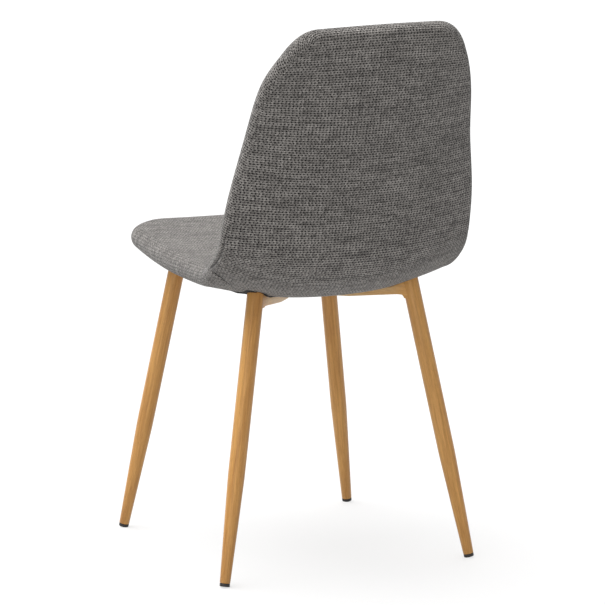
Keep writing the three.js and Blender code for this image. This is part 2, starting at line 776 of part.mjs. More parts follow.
const insetBy = (distance) => () => distance;
const shellPlywood = drillAll(
  toSolid(flatPanel(wholeNet, insetBy(plywoodInset), plywoodUpper, plywoodLower)),
  barrelRadius + holeClearance,
  (axis) => plywoodLower(axis.along) - cutOverrun,
  (axis) => plywoodUpper(axis.along) + cutOverrun,
);
const seatFoam = drillAll(
  toSolid(frontFoamGeometry()),
  flangeRadius + holeClearance,
  (axis) => plywoodUpper(axis.along) - cutOverrun,
  (axis) => plywoodUpper(axis.along) + flangeSeat + flangeThickness + layerGap,
);
const dustNet = panelNet(0, dustCoverLastRow);
const dustCover = drillAll(
  toSolid(flatPanel(dustNet, insetBy(dustCoverInset), dustUpper, dustLower)),
  padRadius + holeClearance,
  (axis) => dustLower(axis.along) - cutOverrun,
  (axis) => dustUpper(axis.along) + cutOverrun,
);
const backNet = panelNet(backCoverFirstRow, rowPlaces.length - 1);
const backInset = (along) => hemWidth(along) + layerGap;
const backUpper = (along) => -innerRadius(along);
const backLower = (along) => -outerFace(along);
const backCover = flatPanel(backNet, backInset, backUpper, backLower);
const wadNet = panelNet(seatRows + bendRows, rowPlaces.length - 1);

addMesh("front_cover", frontCoverGeometry(), seatFabric);
addMesh("back_cover", backCover, fabric);
addMesh("dust_cover", toGeometry(dustCover), blackCloth);
addMesh("front_foam", toGeometry(seatFoam), foam);
addMesh("rear_foam", flatPanel(wadNet, insetBy(plywoodInset), wadUpper, wadLower), foam);
addMesh("plywood_shell", toGeometry(shellPlywood), plywood);

// Bars: one runs whole from the rear left leg, and the other is welded to it in two halves

const boltHole = (solid) => drillAll(
  solid,
  boltRadius + holeClearance,
  (axis) => axis.barTopHeight - barWall - cutOverrun,
  (axis) => axis.barTopHeight + cutOverrun,
);
const wholeBarCut = channelBar(1).subtract(legCutter("rear_left")).subtract(legCutter("front_right"));
const splitBarCut = channelBar(-1).subtract(legCutter("rear_right")).subtract(legCutter("front_left"));
const halves = splitBarCut.subtract(grownBar(1, fitGap)).decompose();
halves.sort((a, b) => b.boundingBox().max[1] - a.boundingBox().max[1]);
addMesh("cross_bar_whole", toGeometry(boltHole(wholeBarCut)), woodSkin);
addMesh("cross_bar_rear_half", toGeometry(boltHole(halves[0])), woodSkin);
addMesh("cross_bar_front_half", toGeometry(boltHole(halves[halves.length - 1])), woodSkin);

addFasteners();

// The origin is on the floor, under the middle of the chair's length and width
const bounds = new THREE.Box3().setFromObject(chair);
chair.position.set(-(bounds.min.x + bounds.max.x) / 2, -(bounds.min.y + bounds.max.y) / 2, 0);

export default chair;
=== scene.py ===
# %% [markdown]
# # An upholstered shell chair on four tapered legs
#
# The chair is a plywood shell padded with foam and covered in a chunky grey weave. It stands on a welded
# frame of two crossed bars and four tapered steel legs, all in a film that looks like oak. The frame that
# this script loads holds the measured parts, and each cell below adds one piece or one finish to it.

# %% Load the measured parts
import math

import bmesh
import bpy
import numpy as np
from mathutils import Matrix, Vector


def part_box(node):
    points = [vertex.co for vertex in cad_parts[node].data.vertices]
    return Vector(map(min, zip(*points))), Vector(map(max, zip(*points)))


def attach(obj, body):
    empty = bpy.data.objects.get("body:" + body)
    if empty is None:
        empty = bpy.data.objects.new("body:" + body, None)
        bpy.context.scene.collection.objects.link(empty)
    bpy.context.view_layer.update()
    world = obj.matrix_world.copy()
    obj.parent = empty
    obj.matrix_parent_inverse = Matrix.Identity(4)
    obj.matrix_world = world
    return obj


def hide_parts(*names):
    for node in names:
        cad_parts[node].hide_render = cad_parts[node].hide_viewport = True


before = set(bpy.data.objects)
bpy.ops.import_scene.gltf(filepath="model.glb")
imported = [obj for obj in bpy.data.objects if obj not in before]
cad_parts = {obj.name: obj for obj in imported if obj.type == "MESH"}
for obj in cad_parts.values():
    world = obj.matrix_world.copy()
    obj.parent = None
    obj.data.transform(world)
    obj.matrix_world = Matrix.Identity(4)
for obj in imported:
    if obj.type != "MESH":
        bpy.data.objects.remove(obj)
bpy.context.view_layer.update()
print("loaded", len(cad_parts), "measured parts")

# %% [markdown]
# ## Small helpers
#
# Blender's operators work on whatever is selected, and the loaded parts come in selected. So every cell that
# models something starts by deselecting everything. A finished piece also needs its place baked into its
# mesh, which keeps patterns that read Object coordinates where they are. The last helper here gives a piece
# its material and ties the piece to the chair's one body.

# %% Selecting, naming and finishing a piece
CORNERS = ("rear_left", "rear_right", "front_left", "front_right")


def select_only(*objects):
    bpy.ops.object.select_all(action="DESELECT")
    for item in objects:
        item.select_set(True)
    bpy.context.view_layer.objects.active = objects[0]


def new_piece(name, mesh):
    piece = bpy.data.objects.new(name, mesh)
    bpy.context.scene.collection.objects.link(piece)
    return piece


def finish_piece(piece, material):
    piece.data.materials.clear()
    piece.data.materials.append(material)
    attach(piece, "root")
    print(piece.name, "has", len(piece.data.polygons), "faces")


# %% [markdown]
# ## The shell's surface
#
# The seat and the back are one curved sheet. Its side view is a line with two round bends, the front lip and
# the deep bend under the sitter's hips. Its side edges stand up like a shallow dish. Sculpting that by hand
# would be slow and lumpy, so the sheet is a formula: a place across and a place along give a point. The
# lengths are in metres. The measured parts were made with the same ones, apart from the crown of the top
# edge, which is a millimetre fuller here.

# %% Side view of the sheet
SEAT_PITCH = math.radians(6.4)
BACK_RECLINE = math.radians(14.9)
CROSSING = np.array([0.203, 0.4195])  # where the lines of the seat and the back would cross
SEAT_LENGTH = 0.419  # from the lip's bend to the crossing
BACK_LENGTH = 0.414  # from the crossing to the top
BEND_RADIUS = 0.101
LIP_RADIUS = 0.076
LIP_TURN = math.radians(26)

bend_turn = math.pi / 2 - BACK_RECLINE + SEAT_PITCH
bend_tangent = BEND_RADIUS * math.tan(bend_turn / 2)
lip_end = LIP_RADIUS * LIP_TURN
bend_start = lip_end + SEAT_LENGTH - bend_tangent
bend_end = bend_start + BEND_RADIUS * bend_turn
sheet_end = bend_end + BACK_LENGTH - bend_tangent


def circle(angle):
    return np.concatenate([np.cos(angle), np.sin(angle)], -1)


def side_view(along):
    """Places and directions in the side view, at distances along the sheet from its front edge."""
    along = np.asarray(along, float)[..., None]
    seat_line = np.array([math.cos(SEAT_PITCH), -math.sin(SEAT_PITCH)])
    seat_up = np.array([math.sin(SEAT_PITCH), math.cos(SEAT_PITCH)])
    back_line = np.array([math.sin(BACK_RECLINE), math.cos(BACK_RECLINE)])
    up_angle = math.pi / 2 - SEAT_PITCH
    lip_centre = CROSSING - seat_line * SEAT_LENGTH - seat_up * LIP_RADIUS
    bend_centre = CROSSING - seat_line * bend_tangent + seat_up * BEND_RADIUS
    lip_angle = up_angle + LIP_TURN - along / LIP_RADIUS
    bend_angle = up_angle - math.pi + (along - bend_start) / BEND_RADIUS
    where = [along < lip_end, along < bend_start, along < bend_end]
    places = [
        lip_centre + LIP_RADIUS * circle(lip_angle),
        CROSSING + seat_line * (along - lip_end - SEAT_LENGTH),
        bend_centre + BEND_RADIUS * circle(bend_angle),
    ]
    directions = [
        circle(lip_angle - math.pi / 2),
        seat_line + 0 * along,
        circle(bend_angle + math.pi / 2),
    ]
    back = CROSSING + back_line * (along - bend_end + bend_tangent)
    return np.select(where, places, back), np.select(where, directions, back_line + 0 * along)


print(f"the sheet is {sheet_end * 1000:.0f} mm long over its curve")

# %% [markdown]
# ### Width, dish and thickness
#
# The seat is wide and nearly flat, the bend is deeply dished, and the back narrows towards its top. Profiles
# could be drawn and lofted. A pattern maker gives such sizes at a few places only, and so does the table
# below: a smooth curve runs through its rows and gives the sizes everywhere between.

# %% Width, dish and thickness along the sheet
DISH_POWER = 2.25  # how late the side edges turn up
LIP_CROWN = 0.014  # how far the middle of the front edge stands out past its ends
TOP_CROWN = 0.006
CROWN_REACH = 0.150
stations = np.array([
    # along, half width, rise of the side edges, half thickness
    [0, 0.169, 0.006, 0.0165],
    [(lip_end + bend_start) / 2, 0.1865, 0.009, 0.0165],
    [bend_start, 0.190, 0.024, 0.0165],
    [(bend_start + bend_end) / 2, 0.192, 0.036, 0.0158],
    [bend_end + (sheet_end - bend_end) / 6, 0.186, 0.034, 0.015],
    [(bend_end + sheet_end) / 2, 0.168, 0.033, 0.015],
    [sheet_end, 0.147, 0.011, 0.015],
])


def sizes(along):
    """Half width, rise and half thickness, on a smooth curve through the stations."""
    at, values = stations[:, 0], stations[:, 1:]
    gap = np.diff(at)[:, None]
    chord = np.diff(values, axis=0) / gap
    slope = (values[2:] - values[:-2]) / (at[2:] - at[:-2])[:, None]
    slope = np.vstack([1.5 * chord[0] - 0.5 * slope[0], slope, 1.5 * chord[-1] - 0.5 * slope[-1]])
    along = np.clip(along, 0, sheet_end)
    k = np.clip(np.searchsorted(at, along, side="right") - 1, 0, len(at) - 2)
    t = ((along - at[k]) / gap[k, 0])[..., None]
    start = (1 + 2 * t) * (1 - t) ** 2 * values[k] + t * (1 - t) ** 2 * gap[k] * slope[k]
    end = t * t * (3 - 2 * t) * values[k + 1] - t * t * (1 - t) * gap[k] * slope[k + 1]
    return start + end


def sheet_point(x, along):
    """The point of the middle sheet at a place across and a place along."""
    size = sizes(along)
    across = np.abs(x) / size[..., 0]
    lip_fade = np.clip(1 - along / CROWN_REACH, 0, None) ** 2
    top_fade = np.clip(1 - (sheet_end - along) / CROWN_REACH, 0, None) ** 2
    bowed = along + (LIP_CROWN * lip_fade - TOP_CROWN * top_fade) * across ** 2
    place, direction = side_view(np.clip(bowed, 0, sheet_end))
    lift = size[..., 1] * across ** DISH_POWER
    return np.stack([
        x + 0 * lift,
        place[..., 0] - direction[..., 1] * lift,
        place[..., 1] + direction[..., 0] * lift,
    ], -1)


def smooth_step(value, low, high):
    """Grows from 0 to 1, smoothly, as the value goes from low to high."""
    share = np.clip((value - low) / (high - low), 0, 1)
    return share * share * (3 - 2 * share)


def unit(vectors):
    return vectors / np.linalg.norm(vectors, axis=-1, keepdims=True)


FINE_STEP = 0.0005  # short enough to take the sheet's slope over


def sheet_normal(x, along, step=FINE_STEP):
    """The direction square to the sheet, on its upper side."""
    along = np.clip(along, step, sheet_end - step)
    across = sheet_point(x + step, along) - sheet_point(x - step, along)
    lengthwise = sheet_point(x, along + step) - sheet_point(x, along - step)
    return unit(np.cross(across, lengthwise))


print("half widths:", np.round(sizes(stations[:, 0])[:, 0], 3))

# %% [markdown]
# ## The sheet's net
#
# A mesh with rounded corners can be one clean grid if its first and last rows bow with the ends of the
# outline. Half of each rounded corner is then drawn by the end row and half by the side columns, so there
# are no thin triangles to crease the cloth.

# %% Grid of places over the flat sheet
LIP_CORNER = (0.131, 0.079)  # across, along
TOP_CORNER = (0.054, 0.125)
BOW_REACH = 0.08
HALF_TURN_SHARE = math.sqrt(0.5)
lip_split = LIP_CORNER[1] * (1 - HALF_TURN_SHARE)
top_split = sheet_end - TOP_CORNER[1] * (1 - HALF_TURN_SHARE)


def corner_cut(corner, from_end):
    """How much narrower a rounded corner makes the sheet, at a distance from its end."""
    reach = np.clip(1 - from_end / corner[1], 0, 1)
    return corner[0] * (1 - np.sqrt(1 - reach ** 2))


def edge_half_width(along):
    """Half the sheet's width at a place along it, with the rounded corners taken off."""
    cuts = corner_cut(LIP_CORNER, along) + corner_cut(TOP_CORNER, sheet_end - along)
    return sizes(along)[..., 0] - cuts


def end_bow(corner, half_width, share):
    """How far the end row bows inwards to follow its half of the rounded corners."""
    flat = half_width - corner[0] * HALF_TURN_SHARE
    round_part = np.clip((np.abs(share) * half_width - flat) / corner[0], 0, None)
    return corner[1] * (HALF_TURN_SHARE - np.sqrt(1 - round_part ** 2))


def crowded(start, end, count, power):
    """Places from start towards end, crowded near the start."""
    return start + (end - start) * (np.arange(count) / count) ** power


ROW_CROWDING = 1.25  # above 1, the rows stand closer together towards the two ends


def net_places(columns, seat_rows, bend_rows, back_rows, power=ROW_CROWDING):
    """Places across and along for every point of the grid, as two arrays of rows by columns."""
    rows = np.concatenate([
        crowded(lip_split, bend_start, seat_rows, power),
        crowded(bend_start, bend_end, bend_rows, 1),
        [bend_end],
        crowded(top_split, bend_end, back_rows, power)[::-1],
    ])[:, None]
    even = np.linspace(-1, 1, columns + 1)[None, :]
    share = (even + np.sin(even * math.pi / 2)) / 2
    lip_fade = np.clip(1 - (rows - lip_split) / BOW_REACH, 0, None)
    top_fade = np.clip(1 - (top_split - rows) / BOW_REACH, 0, None)
    lip_bow = end_bow(LIP_CORNER, edge_half_width(np.array(lip_split)), share) * lip_fade
    top_bow = end_bow(TOP_CORNER, edge_half_width(np.array(top_split)), share) * top_fade
    return share * edge_half_width(rows), rows + lip_bow - top_bow


across, along = net_places(columns=56, seat_rows=36, bend_rows=24, back_rows=38)
row_count, column_count = across.shape
print("grid of", row_count, "rows and", column_count, "columns")

# %% [markdown]
# ## The padded skin
#
# Foam is wrapped round the plywood, so the outside is the grid raised to the front, the grid lowered to the
# rear, and a half round edge between them. Each point also keeps how far along it is and how far round the
# edge it is. Those two numbers are what an upholsterer marks on the cloth, and the seams are cut by them.

# %% Build the closed skin
EDGE_STEPS = 14


def outline_loop(row_count, column_count):
    """The rows and columns of a grid's outermost points, in order round it."""
    last_row, last_column = row_count - 1, column_count - 1
    loop = [(0, column) for column in range(last_column)]
    loop += [(row, last_column) for row in range(last_row)]
    loop += [(last_row, column) for column in range(last_column, 0, -1)]
    loop += [(row, 0) for row in range(last_row, 0, -1)]
    return np.array(loop).T


def outward_directions(loop):
    """The way out at each point of the outline, on the flat sheet and in space."""
    flat = np.stack([across[loop[0], loop[1]], along[loop[0], loop[1]]], -1)
    round_it = unit(np.roll(flat, -1, 0) - np.roll(flat, 1, 0))
    outward = np.stack([round_it[:, 1], -round_it[:, 0]], -1)
    x, place = flat.T
    aside = unit(sheet_point(x + FINE_STEP, place) - sheet_point(x - FINE_STEP, place))
    inner = np.clip(place, FINE_STEP, sheet_end - FINE_STEP)
    ahead = unit(sheet_point(x, inner + FINE_STEP) - sheet_point(x, inner - FINE_STEP))
    return flat, outward, unit(aside * outward[:, :1] + ahead * outward[:, 1:])


loop = outline_loop(row_count, column_count)
edge_flat, edge_outward, edge_out = outward_directions(loop)
edge_point = sheet_point(*edge_flat.T)
edge_normal = sheet_normal(*edge_flat.T)
edge_radius = sizes(edge_flat[:, 1])[:, 2]
face_point = sheet_point(across, along)
face_normal = sheet_normal(across, along)
face_half = sizes(along)[..., 2]
edge_length = float(np.linalg.norm(np.diff(edge_point, axis=0), axis=1).sum())
print("the edge is", round(edge_length, 3), "m round")


# %% Make a mesh, and read and write its points
def mesh_of(name, points, faces):
    """A new mesh of points, and of faces that name their corners by number."""
    mesh = bpy.data.meshes.new(name)
    mesh.from_pydata([tuple(point) for point in points], [], [tuple(map(int, face)) for face in faces])
    return mesh


def quad(index, row, column):
    """The numbers of the four points round one cell of a grid. Turn the grid over to turn the face over."""
    return index[row, column], index[row + 1, column], index[row + 1, column + 1], index[row, column + 1]


def keep_on_points(mesh, name, values):
    """Keeps a number or a vector on every point, which a later cut or a material can read."""
    values = np.array(values, np.float32)
    if values.ndim == 1:
        mesh.attributes.new(name, "FLOAT", "POINT").data.foreach_set("value", values)
    else:
        mesh.attributes.new(name, "FLOAT_VECTOR", "POINT").data.foreach_set("vector", values.ravel())


def read_floats(mesh, name):
    values = np.empty(len(mesh.vertices), np.float32)
    mesh.attributes[name].data.foreach_get("value", values)
    return values.astype(float)


def read_places(mesh):
    values = np.empty(len(mesh.vertices) * 3, np.float32)
    mesh.vertices.foreach_get("co", values)
    return values.reshape(-1, 3).astype(float)


def write_places(mesh, places):
    mesh.vertices.foreach_set("co", places.astype(np.float32).ravel())
    mesh.update()


# %% Join the faces and the edge into one mesh
def nearest_on_edge(flat):
    """For each flat place, the number of the nearest point of the outline and the distance to it."""
    distance = np.linalg.norm(flat[:, None, :] - edge_flat[None, :, :], axis=-1)
    return distance.argmin(1), distance.min(1)


def skin_mesh():
    """The closed skin: upper face, half round edge and lower face, with the marks kept on its points."""
    points, lengthwise, wrap, front_cloth, back_cloth, faces = [], [], [], [], [], []

    def add(place, far_along, far_round, front, back):
        points.append(place)
        lengthwise.append(far_along)
        wrap.append(far_round)
        front_cloth.append(front)
        back_cloth.append(back)
        return len(points) - 1

    flat = np.stack([across, along], -1)
    near, inset = nearest_on_edge(flat.reshape(-1, 2))
    near, inset = near.reshape(across.shape), inset.reshape(across.shape)
    top = np.empty(across.shape, int)
    under = np.empty(across.shape, int)
    for cell in np.ndindex(across.shape):
        lift = face_normal[cell] * face_half[cell]
        edge = near[cell]
        wrapped = math.pi * edge_radius[edge] + inset[cell]
        turned_under = edge_flat[edge] + edge_outward[edge] * wrapped
        top[cell] = add(face_point[cell] + lift, along[cell], -inset[cell], flat[cell], flat[cell])
        under[cell] = add(face_point[cell] - lift, along[cell], wrapped, turned_under, flat[cell])
    rings = [top[loop[0], loop[1]]]
    for step in range(1, EDGE_STEPS):
        angle = math.pi / 2 - math.pi * step / EDGE_STEPS
        ring = []
        for edge, radius in enumerate(edge_radius):
            turn = edge_out[edge] * math.cos(angle) + edge_normal[edge] * math.sin(angle)
            wrapped = radius * (math.pi / 2 - angle)
            front = edge_flat[edge] + edge_outward[edge] * wrapped
            back = edge_flat[edge] + edge_outward[edge] * (math.pi * radius - wrapped)
            ring.append(add(edge_point[edge] + turn * radius, edge_flat[edge, 1], wrapped, front, back))
        rings.append(np.array(ring))
    rings.append(under[loop[0], loop[1]])
    for row, column in np.ndindex(row_count - 1, column_count - 1):
        faces.append(quad(top.T, column, row))
        faces.append(quad(under, row, column))
    for above, below in zip(rings, rings[1:]):
        for here in range(len(above)):
            after = (here + 1) % len(above)
            faces.append((below[here], below[after], above[after], above[here]))
    mesh = mesh_of("shell_skin", points, faces)
    keep_on_points(mesh, "lengthwise", lengthwise)
    keep_on_points(mesh, "wrap", wrap)
    for name, values in (("front_cloth", front_cloth), ("back_cloth", back_cloth)):
        keep_on_points(mesh, name, np.column_stack([values, np.zeros(len(values))]))
    return mesh


# %% Put the skin where the measured cover is
skin = new_piece("shell_skin", skin_mesh())
low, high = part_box("front_cover")
depths = read_places(skin.data)[:, 1]
shift_y = (low.y + high.y) / 2 - (depths.min() + depths.max()) / 2
skin.data.transform(Matrix.Translation((0, shift_y, 0)))
print("the skin has", len(skin.data.polygons), "faces")
print("it moves", round(shift_y * 1000, 2), "mm along the depth")

# %% [markdown]
# ## Small unevenness
#
# No upholstered chair is quite even. On this one the upper back leans a little to one side, its top edge is
# slightly tilted, one upper corner is fuller, and the cloth under the two rear corners of the seat is pulled
# tight against the plywood. A soft grab stroke would do this by hand. Here each pull is a smooth formula in
# the place along the sheet, so it is the same in every run and one number changes it.

# %% Pull the skin into its uneven shape
TOP_LEAN = 0.003
LEAN_ALONG = (0.62, 0.80)  # where the lean starts and where it is full
TOP_RISE = 0.0027
TOP_TILT = 0.017
RISE_START = 0.70
FULL_CORNER = 0.0022
FULL_ALONG, FULL_REACH = sheet_end - 0.072, 0.03
FULL_ASIDE = (0.08, 0.15)
TAUT_UNDERSIDE = 0.0024
TAUT_ALONG, TAUT_REACH = 0.39, 0.04
TAUT_ASIDE = (0.07, 0.14)
UNDER_WRAP = (0.035, 0.06)  # distances round the edge between which the underside begins


def bump(value, middle, reach):
    """Grows smoothly to 1 at the middle and back to 0 on both sides of it."""
    return np.exp(-(((value - middle) / reach) ** 2))


def taut_corner(x, along):
    """How far the cloth under the two rear corners of the seat is pulled up against the plywood."""
    return TAUT_UNDERSIDE * bump(along, TAUT_ALONG, TAUT_REACH) * smooth_step(np.abs(x), *TAUT_ASIDE)


def make_uneven(piece):
    places = read_places(piece.data)
    lengthwise, wrap = read_floats(piece.data, "lengthwise"), read_floats(piece.data, "wrap")
    x = places[:, 0].copy()
    full = FULL_CORNER * bump(lengthwise, FULL_ALONG, FULL_REACH) * smooth_step(x, *FULL_ASIDE)
    top_rise = (TOP_RISE - TOP_TILT * x) * smooth_step(lengthwise, RISE_START, sheet_end)
    places[:, 0] += TOP_LEAN * smooth_step(lengthwise, *LEAN_ALONG) + full
    places[:, 2] += top_rise + taut_corner(x, lengthwise) * smooth_step(wrap, *UNDER_WRAP)
    write_places(piece.data, places)
    print(f"the top edge rises by up to {top_rise.max() * 1000:.1f} mm")


make_uneven(skin)

# %% [markdown]
# ## Where the seam runs
#
# The seam between the two cloths goes round the back, a little behind its edge, and then turns in under the
# bend. It could be drawn as a curve in space. Here it is given by distances along the sheet and round the
# edge, as it would be chalked on the cloth, so it stays on the surface wherever that goes.

# %% The seam as lines on the cloth
EDGE_SEAM = np.array([
    # along, distance round the edge
    [0.4273, 0.0291],
    [0.4487, 0.0332],
    [0.4880, 0.0380],
    [0.5500, 0.0417],
    [0.6620, 0.0428],
])
UNDER_SEAM = np.array([
    # distance round the edge, along
    [0.0291, 0.4273],
    [0.0433, 0.4363],
    [0.0530, 0.4305],
    [0.0605, 0.4230],
    [0.0670, 0.4160],
    [0.0785, 0.4085],
    [0.0840, 0.3600],
    [0.1100, 0.3550],
])


def seam_distance(lengthwise, wrap):
    """Distance from the seams: above zero on the back cover, below zero on the front cover."""
    behind_edge = wrap - np.interp(lengthwise, *EDGE_SEAM.T)
    behind_seat = lengthwise - np.interp(wrap, *UNDER_SEAM.T)
    return np.minimum(behind_edge, behind_seat)


seam = seam_distance(read_floats(skin.data, "lengthwise"), read_floats(skin.data, "wrap"))
print("points on the back cover:", int((seam > 0).sum()), "of", len(seam))

# %% [markdown]
# ## Foam that pushes the cloth out
#
# Real padding is a little too big for its cover, so the cloth stands proud between the seams and pulls in
# along them. Blender's cloth simulation does the same: air pressure inside the closed skin swells it, while
# the points near the seams are pinned. How far a point may move is capped, so the size stays right.

# %% Swell the skin
PINNED_REACH = 0.004
FOAM_HOLD = 0.17  # how firmly the glue between the foam and the shell holds the cloth away from the seams
SWELL_FRAMES = 20
PRESSURE = 4
CLOTH_MASS = 0.3
CLOTH_TENSION = 30
CLOTH_BENDING = 0.5
MOST_SWELL = 0.0025


def swell(piece, pinned):
    """Runs the cloth simulation on the piece and keeps its result, with each move capped softly."""
    start = read_places(piece.data)
    group = piece.vertex_groups.new(name="held")
    group.add([int(i) for i in np.nonzero(~pinned)[0]], FOAM_HOLD, "REPLACE")
    group.add([int(i) for i in np.nonzero(pinned)[0]], 1, "REPLACE")
    cloth = piece.modifiers.new("padding", "CLOTH")
    cloth.settings.vertex_group_mass = "held"
    cloth.settings.use_pressure = True
    cloth.settings.uniform_pressure_force = PRESSURE
    cloth.settings.effector_weights.gravity = 0
    cloth.settings.mass = CLOTH_MASS
    cloth.settings.tension_stiffness = CLOTH_TENSION
    cloth.settings.bending_stiffness = CLOTH_BENDING
    cloth.point_cache.frame_start = 1
    cloth.point_cache.frame_end = SWELL_FRAMES
    scene = bpy.context.scene
    for frame_number in range(1, SWELL_FRAMES + 1):
        scene.frame_set(frame_number)
    swollen = piece.evaluated_get(bpy.context.evaluated_depsgraph_get())
    ended = read_places(swollen.data)
    piece.modifiers.remove(cloth)
    scene.frame_set(1)
    moved = ended - start
    distance = np.maximum(np.linalg.norm(moved, axis=1, keepdims=True), 1e-9)
    capped = moved * MOST_SWELL * np.tanh(distance / MOST_SWELL) / distance
    write_places(piece.data, start + capped)
    print(f"the cloth wanted to move {distance.mean() * 1000:.2f} mm, most {distance.max() * 1000:.2f} mm")


swell(skin, np.abs(seam) < PINNED_REACH)

# %% [markdown]
# ## Cutting the covers
#
# An upholsterer sews this chair's cover from two cloths. One covers the seat, the inner back and the edge,
# and ends in a hem under the shell. The other covers the outer back and the bend below it. Blender's Bisect
# cuts along a plane, and these seams are curves. So each point is lifted, for a moment, to a height that is
# its distance from the seam. One level cut then follows the whole curve, and the points go home again.

# %% Cut the skin along its seams
HEM = 0.052  # how far the front cloth reaches under the shell
FINE_CUT = 1e-5


def cut_cloth(name, keep_back):
    """One cover, cut from the skin where its distance from the seam is zero, and mapped as flat cloth."""
    mesh = skin.data.copy()
    cloth = bmesh.new()
    cloth.from_mesh(mesh)
    true_place = cloth.verts.layers.float_vector.new("true_place")
    lengthwise = cloth.verts.layers.float["lengthwise"]
    wrap = cloth.verts.layers.float["wrap"]
    uv_source = cloth.verts.layers.float_vector["back_cloth" if keep_back else "front_cloth"]
    uv = cloth.loops.layers.uv.new("cloth")
    for vert in cloth.verts:
        vert[true_place] = vert.co
    for face in cloth.faces:
        for corner in face.loops:
            corner[uv].uv = corner.vert[uv_source].xy

    def cut(value_of):
        for vert in cloth.verts:
            place = vert[true_place]
            vert.co = (place.x, place.z + place.y, value_of(vert))
        parts = cloth.verts[:] + cloth.edges[:] + cloth.faces[:]
        bmesh.ops.bisect_plane(cloth, geom=parts, dist=FINE_CUT, plane_co=(0, 0, 0), plane_no=(0, 0, 1),
                               clear_inner=True)

    def behind_seam(vert):
        distance = float(seam_distance(vert[lengthwise], vert[wrap]))
        return distance if keep_back else -distance

    def before_hem(vert):
        half = sizes(np.array(vert[lengthwise]))[2]
        return math.pi * half + HEM - vert[wrap]

    cut(behind_seam)
    if not keep_back:
        cut(before_hem)
    for vert in cloth.verts:
        vert.co = vert[true_place]
    cloth.to_mesh(mesh)
    cloth.free()
    piece = new_piece(name, mesh)
    print(name, "has", len(mesh.polygons), "faces before it is rounded")
    return piece


seat_cover = cut_cloth("padded_seat_and_back", keep_back=False)
rear_cover = cut_cloth("padded_rear", keep_back=True)
bpy.data.objects.remove(skin)

# %% [markdown]
# ## Seams
#
# Stitches draw the cloth in along a seam, so both covers sink into a fine groove there. It could be
# sculpted. But the distance of each point from the seam is known, so each one is moved inwards by a curve in
# that distance. The distance is also kept on the points, and the cloth's material darkens the groove by it.
# Last, a Solidify modifier gives the cloth its thickness.

# %% Round the cut edges down into the seam
SEAM_DEPTH = 0.0022
SEAM_SPREAD = 0.0020
HIGH_SEAM = (0.44, 0.56)  # places along the sheet between which the seam comes up from under the bend
HIGH_SEAM_PULL = 0.45  # the seam is drawn in less round the back than under the bend
HIGH_SEAM_FADE = 0.0011  # and it shows less there, as if each place were this much further from it
TAUT_SEAM_PULL = 0.1  # the plywood is close behind the taut corners, so the seam stays shallow there
CLOTH_DEPTH = 0.0035


def apply_modifier(piece, modifier):
    select_only(piece)
    bpy.ops.object.modifier_apply(modifier=modifier.name)


def thicken_cloth(piece, thickness, sharp_from):
    """Gives a cloth its thickness on its inner side, and keeps only the sharper folds sharp."""
    thicken = piece.modifiers.new("thicken", "SOLIDIFY")
    thicken.thickness = thickness
    thicken.offset = -1
    apply_modifier(piece, thicken)
    bpy.ops.object.shade_smooth_by_angle(angle=math.radians(sharp_from))


def round_cloth(piece):
    """Makes a cover's mesh finer, and sinks it into the groove along its seam."""
    smooth = piece.modifiers.new("smooth", "SUBSURF")
    smooth.levels = 1
    smooth.render_levels = 1
    smooth.boundary_smooth = "PRESERVE_CORNERS"
    apply_modifier(piece, smooth)
    mesh = piece.data
    place = read_places(mesh)
    normals = np.array([v.normal for v in mesh.vertices])
    lengthwise, wrap = read_floats(mesh, "lengthwise"), read_floats(mesh, "wrap")
    distance = np.abs(seam_distance(lengthwise, wrap))
    up_the_back = smooth_step(lengthwise, *HIGH_SEAM)
    pull = 1 - (1 - HIGH_SEAM_PULL) * up_the_back
    taut = taut_corner(place[:, 0], lengthwise) / TAUT_UNDERSIDE * smooth_step(wrap, *UNDER_WRAP)
    depth = SEAM_DEPTH * pull * (1 - (1 - TAUT_SEAM_PULL) * taut) * bump(distance, 0, SEAM_SPREAD)
    shown = distance / pull + HIGH_SEAM_FADE * up_the_back
    write_places(mesh, place - normals * depth[:, None])
    keep_on_points(mesh, "seam", shown)
    thicken_cloth(piece, CLOTH_DEPTH, sharp_from=50)


for cover in (seat_cover, rear_cover):
    round_cloth(cover)
    print(cover.name, "has", len(cover.data.polygons), "faces")

# %% [markdown]
# ## Materials
#
# Each finish is a small group of nodes that turns a place on the piece into colour, height and roughness.
# The cloth reads its own map, which is measured in metres on the flat cloth, so the weave keeps its size
# and follows the cloth round the edge. Adding and joining nodes takes many lines, so a small class does it,
# with one short name for each kind of step that comes up often.

